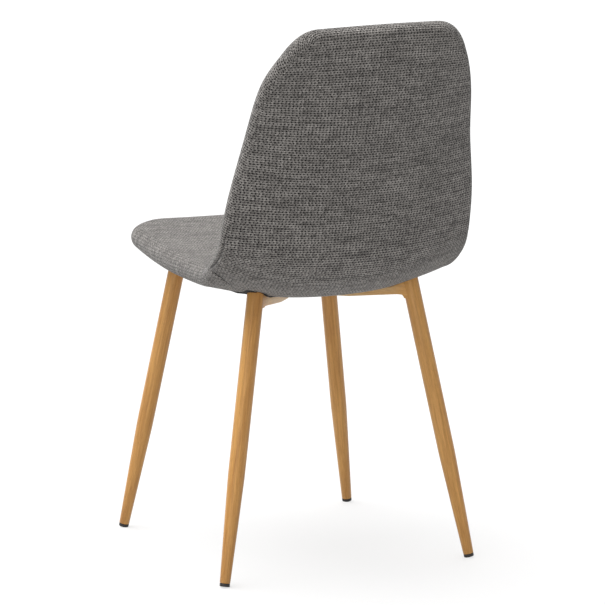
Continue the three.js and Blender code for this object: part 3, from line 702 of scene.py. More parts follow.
# %% A short way to add and join nodes
class Nodes:
    """A new material and the short ways to fill it with nodes."""

    def __init__(self, name):
        self.material = bpy.data.materials.new(name)
        self.material.use_nodes = True
        self.tree = self.material.node_tree
        self.shader = self.tree.nodes["Principled BSDF"]

    def add(self, kind, inputs=None, **settings):
        """A new node, with its settings and with values or links for its inputs."""
        node = self.tree.nodes.new("ShaderNode" + kind)
        for name, value in settings.items():
            setattr(node, name, value)
        for name, value in (inputs or {}).items():
            self.put(node.inputs[name], value)
        return node

    def put(self, socket, value):
        """Links another node's output to a socket, or sets the socket to a plain value."""
        if isinstance(value, bpy.types.NodeSocket):
            self.tree.links.new(value, socket)
        else:
            socket.default_value = value

    def math(self, operation, first, second=0.0, third=0.0):
        node = self.add("Math", {0: first, 1: second, 2: third}, operation=operation)
        return node.outputs[0]

    def noise(self, vector, scale, detail=2.0, roughness=0.5):
        inputs = {"Vector": vector, "Scale": scale, "Detail": detail, "Roughness": roughness}
        return self.add("TexNoise", inputs).outputs["Fac"]

    def scaled(self, vector, scale):
        node = self.add("VectorMath", {0: vector, 1: scale}, operation="MULTIPLY")
        return node.outputs[0]

    def spread(self, value, low, high, to_low, to_high):
        """Maps a value from one range onto another, and stops at its ends."""
        inputs = {"Value": value, "From Min": low, "From Max": high, "To Min": to_low, "To Max": to_high}
        return self.add("MapRange", inputs).outputs["Result"]

    def blend(self, share, first, second, kind="MIX"):
        node = self.add("Mix", data_type="RGBA", blend_type=kind)
        for socket, value in ((node.inputs[0], share), (node.inputs[6], first), (node.inputs[7], second)):
            self.put(socket, value)
        return node.outputs[2]

    def finish(self, colour, roughness, height=None, bump_distance=0.0005, bump_strength=1.0):
        self.put(self.shader.inputs["Base Color"], colour)
        self.put(self.shader.inputs["Roughness"], roughness)
        if height is not None:
            inputs = {"Height": height, "Distance": bump_distance, "Strength": bump_strength}
            self.put(self.shader.inputs["Normal"], self.add("Bump", inputs).outputs["Normal"])
        return self.material


def screen_colour(red, green, blue):
    """A colour given as it is seen on a screen, 0 to 255, turned into the linear light Blender works in."""
    parts = [value / 255 for value in (red, green, blue)]
    linear = [part / 12.92 if part <= 0.04045 else ((part + 0.055) / 1.055) ** 2.4 for part in parts]
    return (*linear, 1)


# %% [markdown]
# ### Chunky woven cloth
#
# Thick, fluffy yarns run from side to side in rows. Each one floats over the surface for a few millimetres,
# dips under a thinner upright yarn and comes up again, and every second row is shifted a little. The nodes
# find which stitch a place is in and how far from its middle it is. Each stitch is a small pillow with its
# own grey, which gives the speckled look, and the grooves round it are dark.

# %% Which stitch a place is in
STITCH_PITCH = 0.0050
ROW_PITCH = 0.0037
ROW_SHIFT = 0.27  # every second row is shifted by this share of a stitch
ROW_JITTER = 0.22  # and each row strays by up to this share more
YARN_WANDER = (0.0016, 0.0010, 0)  # how crooked the yarns run, in metres


def stitch_grid(nodes, uv):
    """The stitch that a place is in, and where in the stitch it is, from 0 to 1 both ways."""
    wander = nodes.add("TexNoise", {"Vector": uv, "Scale": 140.0, "Detail": 2.0}).outputs["Color"]
    centred = nodes.add("VectorMath", {0: wander, 1: (0.5, 0.5, 0.5)}, operation="SUBTRACT").outputs[0]
    place = nodes.add("VectorMath", {0: nodes.scaled(centred, YARN_WANDER), 1: uv}, operation="ADD")
    parts = nodes.add("SeparateXYZ", {0: place.outputs[0]})
    down = nodes.math("DIVIDE", parts.outputs[1], ROW_PITCH)
    row = nodes.math("FLOOR", down)
    shift = nodes.math("MULTIPLY", nodes.math("FLOORED_MODULO", row, 2.0), ROW_SHIFT)
    row_jitter = nodes.add("TexWhiteNoise", {"W": row}, noise_dimensions="1D").outputs["Value"]
    shift = nodes.math("MULTIPLY_ADD", row_jitter, ROW_JITTER, shift)
    across_rows = nodes.math("ADD", nodes.math("DIVIDE", parts.outputs[0], STITCH_PITCH), shift)
    column = nodes.math("FLOOR", across_rows)
    cell = nodes.add("CombineXYZ", {0: column, 1: row}).outputs[0]
    inside_x = nodes.math("SUBTRACT", across_rows, column)
    inside_y = nodes.math("SUBTRACT", down, row)
    return place.outputs[0], cell, inside_x, inside_y


def pillow(nodes, share, power):
    """Grows from 0 to 1 and back to 0 as the share goes from 0 to 1."""
    return nodes.math("POWER", nodes.math("SINE", nodes.math("MULTIPLY", share, math.pi)), power)


# %% [markdown]
# ### Speckle and grooves
#
# Three kinds of speckle lie on the stitches: each stitch has its own grey, the yarns have lighter and darker
# tufts, and the fibres are finer still. Little light gets into the grooves between the stitches. Bumps alone
# don't take that light away, so the colour is also darkened there, and along the seam.

# %% Grey cloth
HOLE_WIDTH = 0.50
SHALLOW_HOLE = 0.45
DEEP_HOLE = 1.35
VALLEY_DEPTH = 0.50
GROOVE_SHADE = 0.02  # how much light is left in the deepest groove
SEAM_SHADE = 0.12  # and how much along a seam
SAME_GREY = (0.09, 3.7, 0)  # greys change slowly along a row of stitches and quickly from row to row
TUFT_SCALE, FIBRE_SCALE, PATCH_SCALE = 420.0, 1300.0, 22.0  # rough counts of spots in a metre
STITCH_SPECKLE, TUFT_SPECKLE, FIBRE_SPECKLE = 0.22, 1.45, 1.1  # how much each changes the grey
FIBRE_RELIEF = 0.35
CLOTH_RELIEF = 0.0008


def grey_cloth(name, dark, light):
    """Stitches as small pillows with holes between them, each with its own grey and with fluff on it."""
    nodes = Nodes(name)
    uv = nodes.add("UVMap", uv_map="cloth").outputs["UV"]
    place, cell, inside_x, inside_y = stitch_grid(nodes, uv)
    chance = nodes.add("TexWhiteNoise", {"Vector": cell}, noise_dimensions="2D")
    luck = nodes.add("SeparateColor", {0: chance.outputs["Color"]})
    hole_x = nodes.spread(inside_x, 1 - HOLE_WIDTH, 1.0, 0.0, 1.0)
    hole = nodes.math("MULTIPLY", pillow(nodes, hole_x, 1.0), pillow(nodes, inside_y, 1.2))
    hole_depth = nodes.spread(luck.outputs[1], 0.0, 1.0, SHALLOW_HOLE, DEEP_HOLE)
    valley = nodes.math("MULTIPLY", pillow(nodes, inside_y, 1.5), VALLEY_DEPTH)
    lowered = nodes.math("MULTIPLY_ADD", hole, hole_depth, valley)
    height = nodes.math("MAXIMUM", nodes.math("SUBTRACT", 1.0, lowered), 0.0)
    row_grey = nodes.noise(nodes.scaled(cell, SAME_GREY), 1.0, detail=2.0)
    tufts = nodes.noise(nodes.scaled(place, (1.0, 1.7, 0)), TUFT_SCALE, detail=3.0, roughness=0.6)
    fibres = nodes.noise(nodes.scaled(place, (1.0, 2.2, 0)), FIBRE_SCALE, detail=4.0, roughness=0.7)
    row_speckle = nodes.spread(row_grey, 0.3, 0.7, 0.04, 0.28)
    mottle = nodes.math("MULTIPLY_ADD", luck.outputs[0], STITCH_SPECKLE, row_speckle)
    mottle = nodes.math("MULTIPLY_ADD", nodes.math("SUBTRACT", tufts, 0.42), TUFT_SPECKLE, mottle)
    mottle = nodes.math("MULTIPLY_ADD", nodes.math("SUBTRACT", fibres, 0.5), FIBRE_SPECKLE, mottle)
    gap = nodes.spread(height, 0.0, 1.0, GROOVE_SHADE, 1.0)
    patches = nodes.spread(nodes.noise(uv, PATCH_SCALE, detail=3.0), 0.3, 0.7, 0.95, 1.05)
    seam = nodes.add("Attribute", attribute_name="seam").outputs["Fac"]
    seam_shade = nodes.spread(seam, 0.0003, 0.0016, SEAM_SHADE, 1.0)
    shade = nodes.math("MULTIPLY", gap, nodes.math("MULTIPLY", patches, seam_shade))
    grey = nodes.blend(nodes.spread(mottle, 0.1, 0.9, 0.0, 1.0), dark, light)
    colour = nodes.add("VectorMath", {0: grey, "Scale": shade}, operation="SCALE").outputs[0]
    full_height = nodes.math("MULTIPLY_ADD", fibres, FIBRE_RELIEF, height)
    nodes.shader.inputs["Sheen Weight"].default_value = 0.3
    nodes.shader.inputs["Sheen Roughness"].default_value = 0.45
    nodes.shader.inputs["Specular IOR Level"].default_value = 0.25
    roughness = nodes.spread(fibres, 0.3, 0.7, 0.82, 0.98)
    return nodes.finish(colour, roughness, full_height, CLOTH_RELIEF)


cloth_material = grey_cloth("grey_woven_cloth", screen_colour(84, 80, 77), screen_colour(229, 223, 217))
print("made", cloth_material.name)

# %% [markdown]
# ### Oak film
#
# The steel is wrapped in a printed film that looks like oak. A picture of oak could be mapped onto it.
# Stretched noise was chosen, because it has no seam and no repeats: broad bands, thin streaks and short dark
# pores all run along the grain, and slow waves bend them. Away from the legs the film on the bars gets
# lighter colours, which is painted light standing in for light from the white floor under the seat. So two
# pairs of colours are blended by a number that is kept on the points of the bars.

# %% Oak film on the steel
FILM_DARK = screen_colour(182, 124, 59)
FILM_LIGHT = screen_colour(236, 179, 104)
# painted light: lighter film colours for the bars away from the legs, standing in for light from the white
# floor
FILM_DARK_WITH_PAINTED_LIGHT = screen_colour(218, 174, 116)
FILM_LIGHT_WITH_PAINTED_LIGHT = screen_colour(255, 222, 168)
PORE_BROWN = screen_colour(112, 74, 38)
GRAIN_WAVE = (0.003, 0.003, 0)  # how far the grain strays sideways, in metres
BAND_SCALE, STREAK_SCALE, PORE_SCALE, BROAD_SCALE = 260.0, 1300.0, 2600.0, 28.0
BAND_SHARE, STREAK_SHARE, BROAD_SHARE = 0.55, 0.45, 0.5  # how much each adds to the tone
PORE_STRENGTH = 0.35
FILM_RELIEF = 0.0001


def oak_film(name):
    """Wood grain that runs along the third part of the attribute called grain, which is in metres."""
    nodes = Nodes(name)
    grain = nodes.add("Attribute", attribute_name="grain").outputs["Vector"]
    slow = nodes.scaled(grain, (1, 1, 0.25))
    wave = nodes.add("TexNoise", {"Vector": slow, "Scale": 45.0, "Detail": 2.0}).outputs["Color"]
    bend = nodes.scaled(wave, GRAIN_WAVE)
    place = nodes.add("VectorMath", {0: grain, 1: bend}, operation="ADD").outputs[0]
    bands = nodes.noise(nodes.scaled(place, (1, 1, 0.045)), BAND_SCALE, detail=3.0, roughness=0.6)
    streaks = nodes.noise(nodes.scaled(place, (1, 1, 0.018)), STREAK_SCALE, detail=3.0, roughness=0.7)
    pores = nodes.noise(nodes.scaled(place, (1, 1, 0.05)), PORE_SCALE, detail=1.0)
    broad = nodes.noise(nodes.scaled(place, (1, 1, 0.12)), BROAD_SCALE, detail=2.0)
    tone = nodes.math("MULTIPLY_ADD", bands, BAND_SHARE, nodes.math("MULTIPLY", streaks, STREAK_SHARE))
    tone = nodes.math("MULTIPLY_ADD", nodes.math("SUBTRACT", broad, 0.5), BROAD_SHARE, tone)
    # painted light: a number on the bars' points blends in the lighter film colours away from the legs
    painted_light = nodes.add("Attribute", attribute_name="painted_light").outputs["Fac"]
    dark = nodes.blend(painted_light, FILM_DARK, FILM_DARK_WITH_PAINTED_LIGHT)
    light = nodes.blend(painted_light, FILM_LIGHT, FILM_LIGHT_WITH_PAINTED_LIGHT)
    film = nodes.blend(nodes.spread(tone, 0.3, 0.7, 0.0, 1.0), dark, light)
    pore_share = nodes.spread(pores, 0.62, 0.74, 0.0, PORE_STRENGTH)
    colour = nodes.blend(pore_share, film, PORE_BROWN)
    height = nodes.math("MULTIPLY_ADD", pore_share, -0.8, nodes.math("MULTIPLY", streaks, 0.4))
    roughness = nodes.spread(bands, 0.3, 0.7, 0.34, 0.48)
    nodes.shader.inputs["Specular IOR Level"].default_value = 0.35
    nodes.shader.inputs["Coat Weight"].default_value = 0.12
    nodes.shader.inputs["Coat Roughness"].default_value = 0.3
    return nodes.finish(colour, roughness, height, FILM_RELIEF, bump_strength=0.5)


film_material = oak_film("oak_film")
print("made", film_material.name)

# %% [markdown]
# ### Plain finishes
#
# Black plastic, zinc plated steel, beech plywood and non-woven cloth are each nearly one colour, and never
# quite even. A flat colour would look drawn. So one small group of nodes serves them all: fine and broad
# noise mixes two near colours, and the fine noise also changes the gloss and raises the surface a little.

# %% Plain finishes
GLOSS_SPREAD = 0.07


def speckled(name, dark, light, scale, roughness, height, metallic=0.0, stretch=(1, 1, 1)):
    nodes = Nodes(name)
    place = nodes.add("TexCoord").outputs["Object"]
    fine = nodes.noise(nodes.scaled(place, stretch), scale, detail=4.0, roughness=0.65)
    broad = nodes.noise(place, scale / 20, detail=2.0)
    tone = nodes.math("MULTIPLY_ADD", broad, 0.5, nodes.math("MULTIPLY", fine, 0.5))
    colour = nodes.blend(nodes.spread(tone, 0.35, 0.65, 0.0, 1.0), dark, light)
    nodes.shader.inputs["Metallic"].default_value = metallic
    gloss = nodes.spread(fine, 0.3, 0.7, roughness - GLOSS_SPREAD, roughness + GLOSS_SPREAD)
    return nodes.finish(colour, gloss, fine, height)


plastic_material = speckled("black_plastic", screen_colour(9, 8, 7), screen_colour(21, 18, 16),
                            scale=900, roughness=0.5, height=0.00004)
zinc_material = speckled("zinc_steel", screen_colour(150, 152, 156), screen_colour(206, 207, 208),
                         scale=400, roughness=0.34, height=0.00002, metallic=1.0)
ply_material = speckled("beech_plywood", screen_colour(176, 138, 92), screen_colour(214, 180, 136),
                        scale=300, roughness=0.62, height=0.00005, stretch=(0.05, 1, 1))
felt_material = speckled("non_woven", screen_colour(4, 4, 5), screen_colour(15, 15, 16),
                         scale=1600, roughness=0.9, height=0.0002)
print("made", plastic_material.name, zinc_material.name, ply_material.name, felt_material.name)

# %% [markdown]
# ## Tapered legs
#
# Each leg is a steel tube that is straight at the top and swaged to a taper over its lower part: rollers
# squeeze it, and leave a faint dip where the taper starts. A profile could be spun round an axis. A cylinder
# was chosen, because a few level cuts give it points just where its width changes. The leg is modelled
# upright and leaned into its place last, so that its grain can run straight along it. Its top is cut to the
# slope of the shell.

# %% Where the legs stand
LEG_RADIUS = 0.0127
LEG_WALL = 0.0015
FOOT_RADIUS = 0.0077
FOOT_TRIM = 0.0005  # the leaning foot is this much too long, and is cut level with the floor
GAUGE_HEIGHT = 0.431
REAR_FOOT, REAR_GAUGE = (0.2049, 0.201), (0.1278, 0.149)  # on the floor, and at the gauge height
FRONT_FOOT, FRONT_GAUGE = (0.1969, -0.2076), (0.1266, -0.1426)
TOP_RIM_REACH = 0.03  # only the points of the sloped rim are this near to the leg's top end
LEG_TOP_LIFT = 0.0030
REAR_TOP_LIFT = 0.0044
REAR_TOP_TILT = 0.12


def leg_line(corner):
    """The lowest point of a leg's axis and the direction that the leg leans in."""
    side = 1 if corner.endswith("left") else -1
    foot, gauge = (REAR_FOOT, REAR_GAUGE) if corner.startswith("rear") else (FRONT_FOOT, FRONT_GAUGE)
    spread = math.hypot(foot[0] - gauge[0], foot[1] - gauge[1])
    tilt = math.atan2(spread, GAUGE_HEIGHT)
    base = Vector((side * foot[0], foot[1] + shift_y, FOOT_RADIUS * math.sin(tilt) - FOOT_TRIM))
    top = Vector((side * gauge[0], gauge[1] + shift_y, GAUGE_HEIGHT))
    return base, (top - base).normalized()


def leg_length(corner):
    base, direction = leg_line(corner)
    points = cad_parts[f"leg_{corner}"].data.vertices
    return max((vert.co - base).dot(direction) for vert in points)


def leg_top_plane(corner):
    """The slope that the leg's top is cut to, as a point and a direction, fitted to the measured leg."""
    base, direction = leg_line(corner)
    points = np.array([vert.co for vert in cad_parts[f"leg_{corner}"].data.vertices])
    height = (points - np.array(base)) @ np.array(direction)
    rim = points[height > height.max() - TOP_RIM_REACH]
    middle = rim.mean(0)
    normal = np.linalg.svd(rim - middle)[2][2]
    upward = Vector(normal) * (1 if normal[2] > 0 else -1)
    if corner == "rear_right":
        tilted = upward + REAR_TOP_TILT * direction.xy.to_3d().normalized()
        return Vector(middle) + upward * REAR_TOP_LIFT, tilted.normalized()
    return Vector(middle) + upward * LEG_TOP_LIFT, upward


for corner in CORNERS:
    print(corner, "leg is", round(leg_length(corner) * 1000, 1), "mm long")

# %% [markdown]
# ### Moves for metal and plastic
#
# The legs, the caps and the bars need the same few moves: start from a cylinder, pick the faces that look
# one way, and round the sharp edges. No real edge is quite sharp, and a bevel catches the light along it.
# Each move is written once, as a short function.

# %% Cylinders, picked faces and rounded edges
LEG_SIDES = 48


def upright_cylinder(radius, bottom, top):
    bpy.ops.object.select_all(action="DESELECT")
    bpy.ops.mesh.primitive_cylinder_add(vertices=LEG_SIDES, radius=radius, depth=top - bottom,
                                        location=(0, 0, (top + bottom) / 2))
    bpy.ops.object.transform_apply(location=True, rotation=True, scale=True)
    return bpy.context.object


def select_faces(piece, wanted):
    """In edit mode, selects the faces for which the function called wanted gives a yes."""
    work = bmesh.from_edit_mesh(piece.data)
    for part in (*work.verts, *work.edges, *work.faces):
        part.select = False
    for face in work.faces:
        if wanted(face):
            face.select_set(True)
    work.select_flush(True)
    bmesh.update_edit_mesh(piece.data)


def round_edges(piece, width, segments, bevel_from, sharp_from):
    """Bevels the edges that turn by more than one angle, and keeps those above another looking sharp."""
    bevel = piece.modifiers.new("edges", "BEVEL")
    bevel.width = width
    bevel.segments = segments
    bevel.limit_method = "ANGLE"
    bevel.angle_limit = math.radians(bevel_from)
    apply_modifier(piece, bevel)
    bpy.ops.object.shade_smooth_by_angle(angle=math.radians(sharp_from))


# %% Model each leg upright, then lean it
LEG_TAPER_SHARE = 0.375
TAPER_RINGS = (0.5, 0.94, 1, 1.06, 1.7)  # where the tube gets rings, as shares of the tapered length
CAP_HEIGHT = 0.0048
CAP_GAP = 0.0003
SPARE_LENGTH = 0.015  # the tube is cut to its slope from a longer piece
TOP_HOLLOW, FOOT_HOLLOW = 0.02, 0.006  # how far the tube's two ends are hollowed out
NECK_DIP, NECK_REACH = 0.03, 0.012
TUBE_ROUND = 0.0004


def straight_tube(length, top_point, top_normal):
    """The leg upright over the origin, with its foot at height zero and its top cut to a slope."""
    tube = upright_cylinder(LEG_RADIUS, CAP_HEIGHT + CAP_GAP, length + SPARE_LENGTH)
    bpy.ops.object.mode_set(mode="EDIT")
    taper = length * LEG_TAPER_SHARE
    for share in TAPER_RINGS:
        bpy.ops.mesh.select_all(action="SELECT")
        bpy.ops.mesh.bisect(plane_co=(0, 0, taper * share), plane_no=(0, 0, 1))
    bpy.ops.mesh.select_all(action="SELECT")
    bpy.ops.mesh.bisect(plane_co=top_point, plane_no=top_normal, use_fill=True, clear_outer=True)
    for way, inwards in ((1, -TOP_HOLLOW), (-1, FOOT_HOLLOW)):
        select_faces(tube, lambda face: face.normal.z * way > 0.5)
        bpy.ops.mesh.inset(thickness=LEG_WALL)
        bpy.ops.mesh.extrude_region_move(TRANSFORM_OT_translate={"value": (0, 0, inwards)})
    bpy.ops.object.mode_set(mode="OBJECT")
    for vert in tube.data.vertices:
        share = min(1, max(0, vert.co.z / taper))
        ease = share - NECK_DIP * math.exp(-(((vert.co.z - taper) / NECK_REACH) ** 2))
        scale = (FOOT_RADIUS + (LEG_RADIUS - FOOT_RADIUS) * ease) / LEG_RADIUS
        vert.co.x *= scale
        vert.co.y *= scale
    round_edges(tube, TUBE_ROUND, segments=2, bevel_from=60, sharp_from=40)
    return tube


def lean(piece, base, direction):
    """Turns an upright piece to the direction, with the origin going to the base."""
    turn = Vector((0, 0, 1)).rotation_difference(direction).to_matrix().to_4x4()
    piece.data.transform(Matrix.Translation(base) @ turn)


for number, corner in enumerate(CORNERS):
    base, direction = leg_line(corner)
    upright = Vector((0, 0, 1)).rotation_difference(direction).inverted()
    top_point, top_normal = leg_top_plane(corner)
    leg = straight_tube(leg_length(corner), upright @ (top_point - base), upright @ top_normal)
    leg.name = f"turned_leg_{corner}"
    grain_shift = np.array((0.3 * number, 0.1 * number, 0.7 * number))
    keep_on_points(leg.data, "grain", read_places(leg.data) + grain_shift)
    lean(leg, base, direction)
    finish_piece(leg, film_material)
    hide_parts(f"leg_{corner}")


# %% [markdown]
# ## Foot caps
#
# A moulded plastic cap closes the foot of each leg and keeps the steel off the floor. It is a short
# cylinder with a plug that goes up into the tube. It leans with its leg, so it would stand on one edge. A
# level cut at the floor makes its underside flat, which is quicker than modelling a slanted cap.

# %% Foot caps
PLUG_INSET = 0.0019
PLUG_HEIGHT = 0.012
CAP_ROUND = 0.0008


def straight_cap():
    cap = upright_cylinder(FOOT_RADIUS, 0, CAP_HEIGHT)
    bpy.ops.object.mode_set(mode="EDIT")
    select_faces(cap, lambda face: face.normal.z > 0.9)
    bpy.ops.mesh.inset(thickness=PLUG_INSET)
    bpy.ops.mesh.extrude_region_move(TRANSFORM_OT_translate={"value": (0, 0, PLUG_HEIGHT)})
    bpy.ops.object.mode_set(mode="OBJECT")
    round_edges(cap, CAP_ROUND, segments=3, bevel_from=60, sharp_from=40)
    return cap


for corner in CORNERS:
    cap = straight_cap()
    cap.name = f"moulded_foot_{corner}"
    lean(cap, *leg_line(corner))
    select_only(cap)
    bpy.ops.object.mode_set(mode="EDIT")
    bpy.ops.mesh.select_all(action="SELECT")
    bpy.ops.mesh.bisect(plane_co=(0, 0, 0), plane_no=(0, 0, -1), use_fill=True, clear_outer=True)
    bpy.ops.object.mode_set(mode="OBJECT")
    finish_piece(cap, plastic_material)
    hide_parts(f"foot_cap_{corner}")

# %% [markdown]
# ## Finishing the covers
#
# A hand presses a cover and the foam behind it in together. They could stay two pieces, but the foam is
# never seen. So one visible piece stands for both measured parts.

finish_piece(seat_cover, cloth_material)
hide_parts("front_cover", "front_foam")
finish_piece(rear_cover, cloth_material)
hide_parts("back_cover", "rear_foam")

# %% [markdown]
# ## Pressed bars
#
# The bars are folded from sheet steel, so no edge on them is sharp, and their lower rims curve down into the
# weld at each leg. A bar could be drawn anew, as a profile swept along a line. But the measured bar already
# has nearly the right shape, with its holes and its cuts to the legs. So the points of a copy are welded
# together, its flat faces are joined up again, its rims are drawn down at the legs, and a bevel rounds every
# edge the way a fold does.

# %% Draw the rims of the bars down to the legs
SWEEP_REACH = 0.006
SWEEP_SHIFT = 0.0044
SWEEP_DROP = 0.0070
SMALL_SWEEP = 0.3  # the curve beside the nearest leg is much smaller than the others
REAR_END_RISE = 0.0045
REAR_END_REACH = LEG_RADIUS * 1.2
REAR_RIM, FRONT_RIM = 0.4090, 0.4216  # how high the bars' lower rims are at the legs
BAR_DEPTH = 0.0165
BAR_STEPS = 12  # the measured bar is drawn in this many steps from leg to leg
ROW_REACH = 0.002
ON_RIM, ON_RIM_END = 0.0006, 0.0002  # a point this little above the rim's line still counts as on it
HAIR = 0.0001
OPPOSITE = dict(zip(CORNERS, reversed(CORNERS)))


def rim_height(corner):
    return REAR_RIM if corner.startswith("rear") else FRONT_RIM


def bar_hub(corner):
    """The place on a leg's axis that the bar was drawn from."""
    base, direction = leg_line(corner)
    return base + direction * ((rim_height(corner) + BAR_DEPTH / 2 - base.z) / direction.z)


def sweep_onto_leg(bar, corner, measured):
    """Draws the lower rim down in a curve where it meets a leg, and a rear end's top up to the shell."""
    hub = bar_hub(corner)
    span = (bar_hub(OPPOSITE[corner]) - hub).xy
    ahead = np.array(span.normalized())
    direction = leg_line(corner)[1]
    lean_share = float(np.array(direction.xy) @ ahead) / direction.z
    places = read_places(bar.data)
    run = (places - np.array(hub))[:, :2] @ ahead
    step = span.length / BAR_STEPS
    measured_run = (measured - np.array(hub))[:, :2] @ ahead
    next_rim = measured[np.abs(measured_run - step) < ROW_REACH, 2].min()
    rim = rim_height(corner) + (next_rim - rim_height(corner)) * run / step
    curved = (run < LEG_RADIUS + SWEEP_REACH) & (places[:, 2] < rim + ON_RIM)
    ended = (run < LEG_RADIUS) & (places[:, 2] < rim_height(corner) + ON_RIM_END)
    swept = curved | ended
    turn = 1 - np.sqrt(np.clip((run - LEG_RADIUS) / SWEEP_REACH, 0, 1))
    strength = SMALL_SWEEP if corner == "rear_left" else 1
    rise = np.where(swept, rim - strength * SWEEP_DROP * turn ** 2 - places[:, 2], 0)
    if corner.startswith("rear"):
        topmost = (run < REAR_END_REACH) & (places[:, 2] > rim_height(corner) + BAR_DEPTH / 2)
        rise = np.where(topmost, REAR_END_RISE, rise)
    shift = np.where(curved & (run > LEG_RADIUS - HAIR), -strength * SWEEP_SHIFT, 0)
    places[:, 2] += rise
    places[:, :2] += (lean_share * rise + shift)[:, None] * ahead
    write_places(bar.data, places)
    print(bar.name, "has", int(swept.sum()), "rim points swept onto the", corner, "leg")


# %% [markdown]
# ### Folds and film on the bars
#
# The bevel comes last, when every edge is in its place. The film's grain has to run along each bar, so the
# points keep their places in a frame that is turned to the bar. They also keep how far the nearest leg is,
# which sets how much painted light, standing in for light from the floor, lightens the film there.

# %% Round the edges of the bars
FOLD_RADIUS = 0.0011
PAINTED_LIGHT_START, PAINTED_LIGHT_END = 0.014, 0.045  # painted light: the bars' film is coloured lighter away from the legs, for light from the floor
BAR_TURN = math.atan2(REAR_FOOT[1] - FRONT_FOOT[1], REAR_FOOT[0] + FRONT_FOOT[0])
BARS = (
    ("cross_bar_whole", 1, ("rear_left", "front_right")),
    ("cross_bar_rear_half", -1, ("rear_right",)),
    ("cross_bar_front_half", -1, ("front_left",)),
)


def folded_bar(node, side, corners):
    """A visible copy of a measured bar, with swept rims, round folds, its grain and its share of painted
    light kept.
    """
    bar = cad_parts[node].copy()
    bar.data = bar.data.copy()
    bar.name = node.replace("cross_bar", "folded_bar")
    bpy.context.scene.collection.objects.link(bar)
    bar.parent = None
    select_only(bar)
    bpy.ops.object.mode_set(mode="EDIT")
    bpy.ops.mesh.select_all(action="SELECT")
    bpy.ops.mesh.remove_doubles(threshold=0.00001)
    bpy.ops.mesh.dissolve_limited(angle_limit=math.radians(1))
    bpy.ops.object.mode_set(mode="OBJECT")
    for corner in corners:
        sweep_onto_leg(bar, corner, read_places(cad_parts[node].data))
    round_edges(bar, FOLD_RADIUS, segments=3, bevel_from=40, sharp_from=35)
    turn = Matrix.Rotation(math.pi / 2, 3, "Y") @ Matrix.Rotation(-side * BAR_TURN, 3, "Z")
    places = read_places(bar.data)
    keep_on_points(bar.data, "grain", places @ np.array(turn).T)
    # painted light: the distance from the nearest leg sets how much lighter the bars' film is painted
    offsets = [(places - np.array(bar_hub(corner)))[:, :2] for corner in corners]
    from_leg = np.min([np.linalg.norm(offset, axis=1) for offset in offsets], axis=0)
    keep_on_points(bar.data, "painted_light", smooth_step(from_leg, PAINTED_LIGHT_START, PAINTED_LIGHT_END))
    return bar


for node, side, corners in BARS:
    bar = folded_bar(node, side, corners)
    finish_piece(bar, film_material)
    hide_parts(node)

# %% [markdown]
# ## Dust cloth under the seat
#
# A thin black non-woven cloth hides the plywood from below. It is cut a little smaller than the seat, lies
# on the hem of the seat's cover, and is stapled all round, so it is slightly wavy between the staples. It
# could be draped by a simulation. But it is pulled flat onto a surface whose formula is known, so a grid on
# that surface is quicker and can't slip through it.

# %% Cloth in the shape of the underside
CLOTH_LIFT = 0.0006
CLOTH_THICKNESS = 0.0007
EDGE_INSET = 0.012
REAR_CORNER_INSET = 0.048
FAR_CORNER_SHARE = 0.1  # the cloth is cut by hand, and one rear corner reaches less far
REAR_EDGE = 0.4095
REAR_EDGE_MIDDLE = 0.372
REAR_EDGE_HALF = 0.163
REAR_CORNER_START, REAR_CORNER_END = 0.095, 0.135
NARROW_FROM, NARROW_TO = 0.6, 0.95  # the shares of its length between which the cloth narrows to the rear
STAPLE_PITCH = 0.036
WAVE_DEPTH, WAVE_REACH = 0.00035, 0.05
STAPLE_REACH = 0.014
SIDE_START = 0.1  # further out than this, the nearest staples are the ones of a side edge
CLOTH_ROWS, CLOTH_COLUMNS = 75, 61
GRID_STEP = 0.0055  # one step of the grid is about this long


def dust_cloth_places():
    """Places across and along for the points of the cloth, as rows by columns."""
    down = np.linspace(0, 1, CLOTH_ROWS)[:, None]
    share = np.linspace(-1, 1, CLOTH_COLUMNS)[None, :]
    front = lip_split + end_bow(LIP_CORNER, edge_half_width(np.array(lip_split)), share) + EDGE_INSET
    corner = smooth_step(np.abs(share) * REAR_EDGE_HALF, REAR_CORNER_START, REAR_CORNER_END)
    reach = np.where(share > 0, 1, FAR_CORNER_SHARE)
    rear = REAR_EDGE_MIDDLE + (REAR_EDGE - REAR_EDGE_MIDDLE) * corner * reach
    places = front + (rear - front) * down
    nominal = lip_split + (places - front) * (rear - lip_split) / (rear - front)
    inset = EDGE_INSET + (REAR_CORNER_INSET - EDGE_INSET) * smooth_step(down, NARROW_FROM, NARROW_TO)
    return share * (edge_half_width(nominal) - inset), places


def steps_inside(count):
    """How many steps each of a row of points is from the nearer end."""
    return np.minimum(np.arange(count), np.arange(count)[::-1])


def dust_cloth_lift(x, places):
    """How far below the shell's underside the cloth hangs, with its waves between the staples."""
    inset = np.minimum(steps_inside(CLOTH_ROWS)[:, None], steps_inside(CLOTH_COLUMNS)) * GRID_STEP
    run = np.where(np.abs(x) > SIDE_START, places, x)
    waves = np.cos(2 * math.pi * run / STAPLE_PITCH) * np.exp(-inset / STAPLE_REACH)
    waves_depth = WAVE_DEPTH * (1 - waves) * np.exp(-inset / WAVE_REACH)
    return CLOTH_LIFT + CLOTH_THICKNESS + waves_depth - taut_corner(x, places)


def under_point(x, places, lift):
    """The point at a distance below the shell's underside."""
    point = sheet_point(x, places) - sheet_normal(x, places) * (sizes(places)[..., 2] + lift)[..., None]
    return point + np.array([0, shift_y, 0])


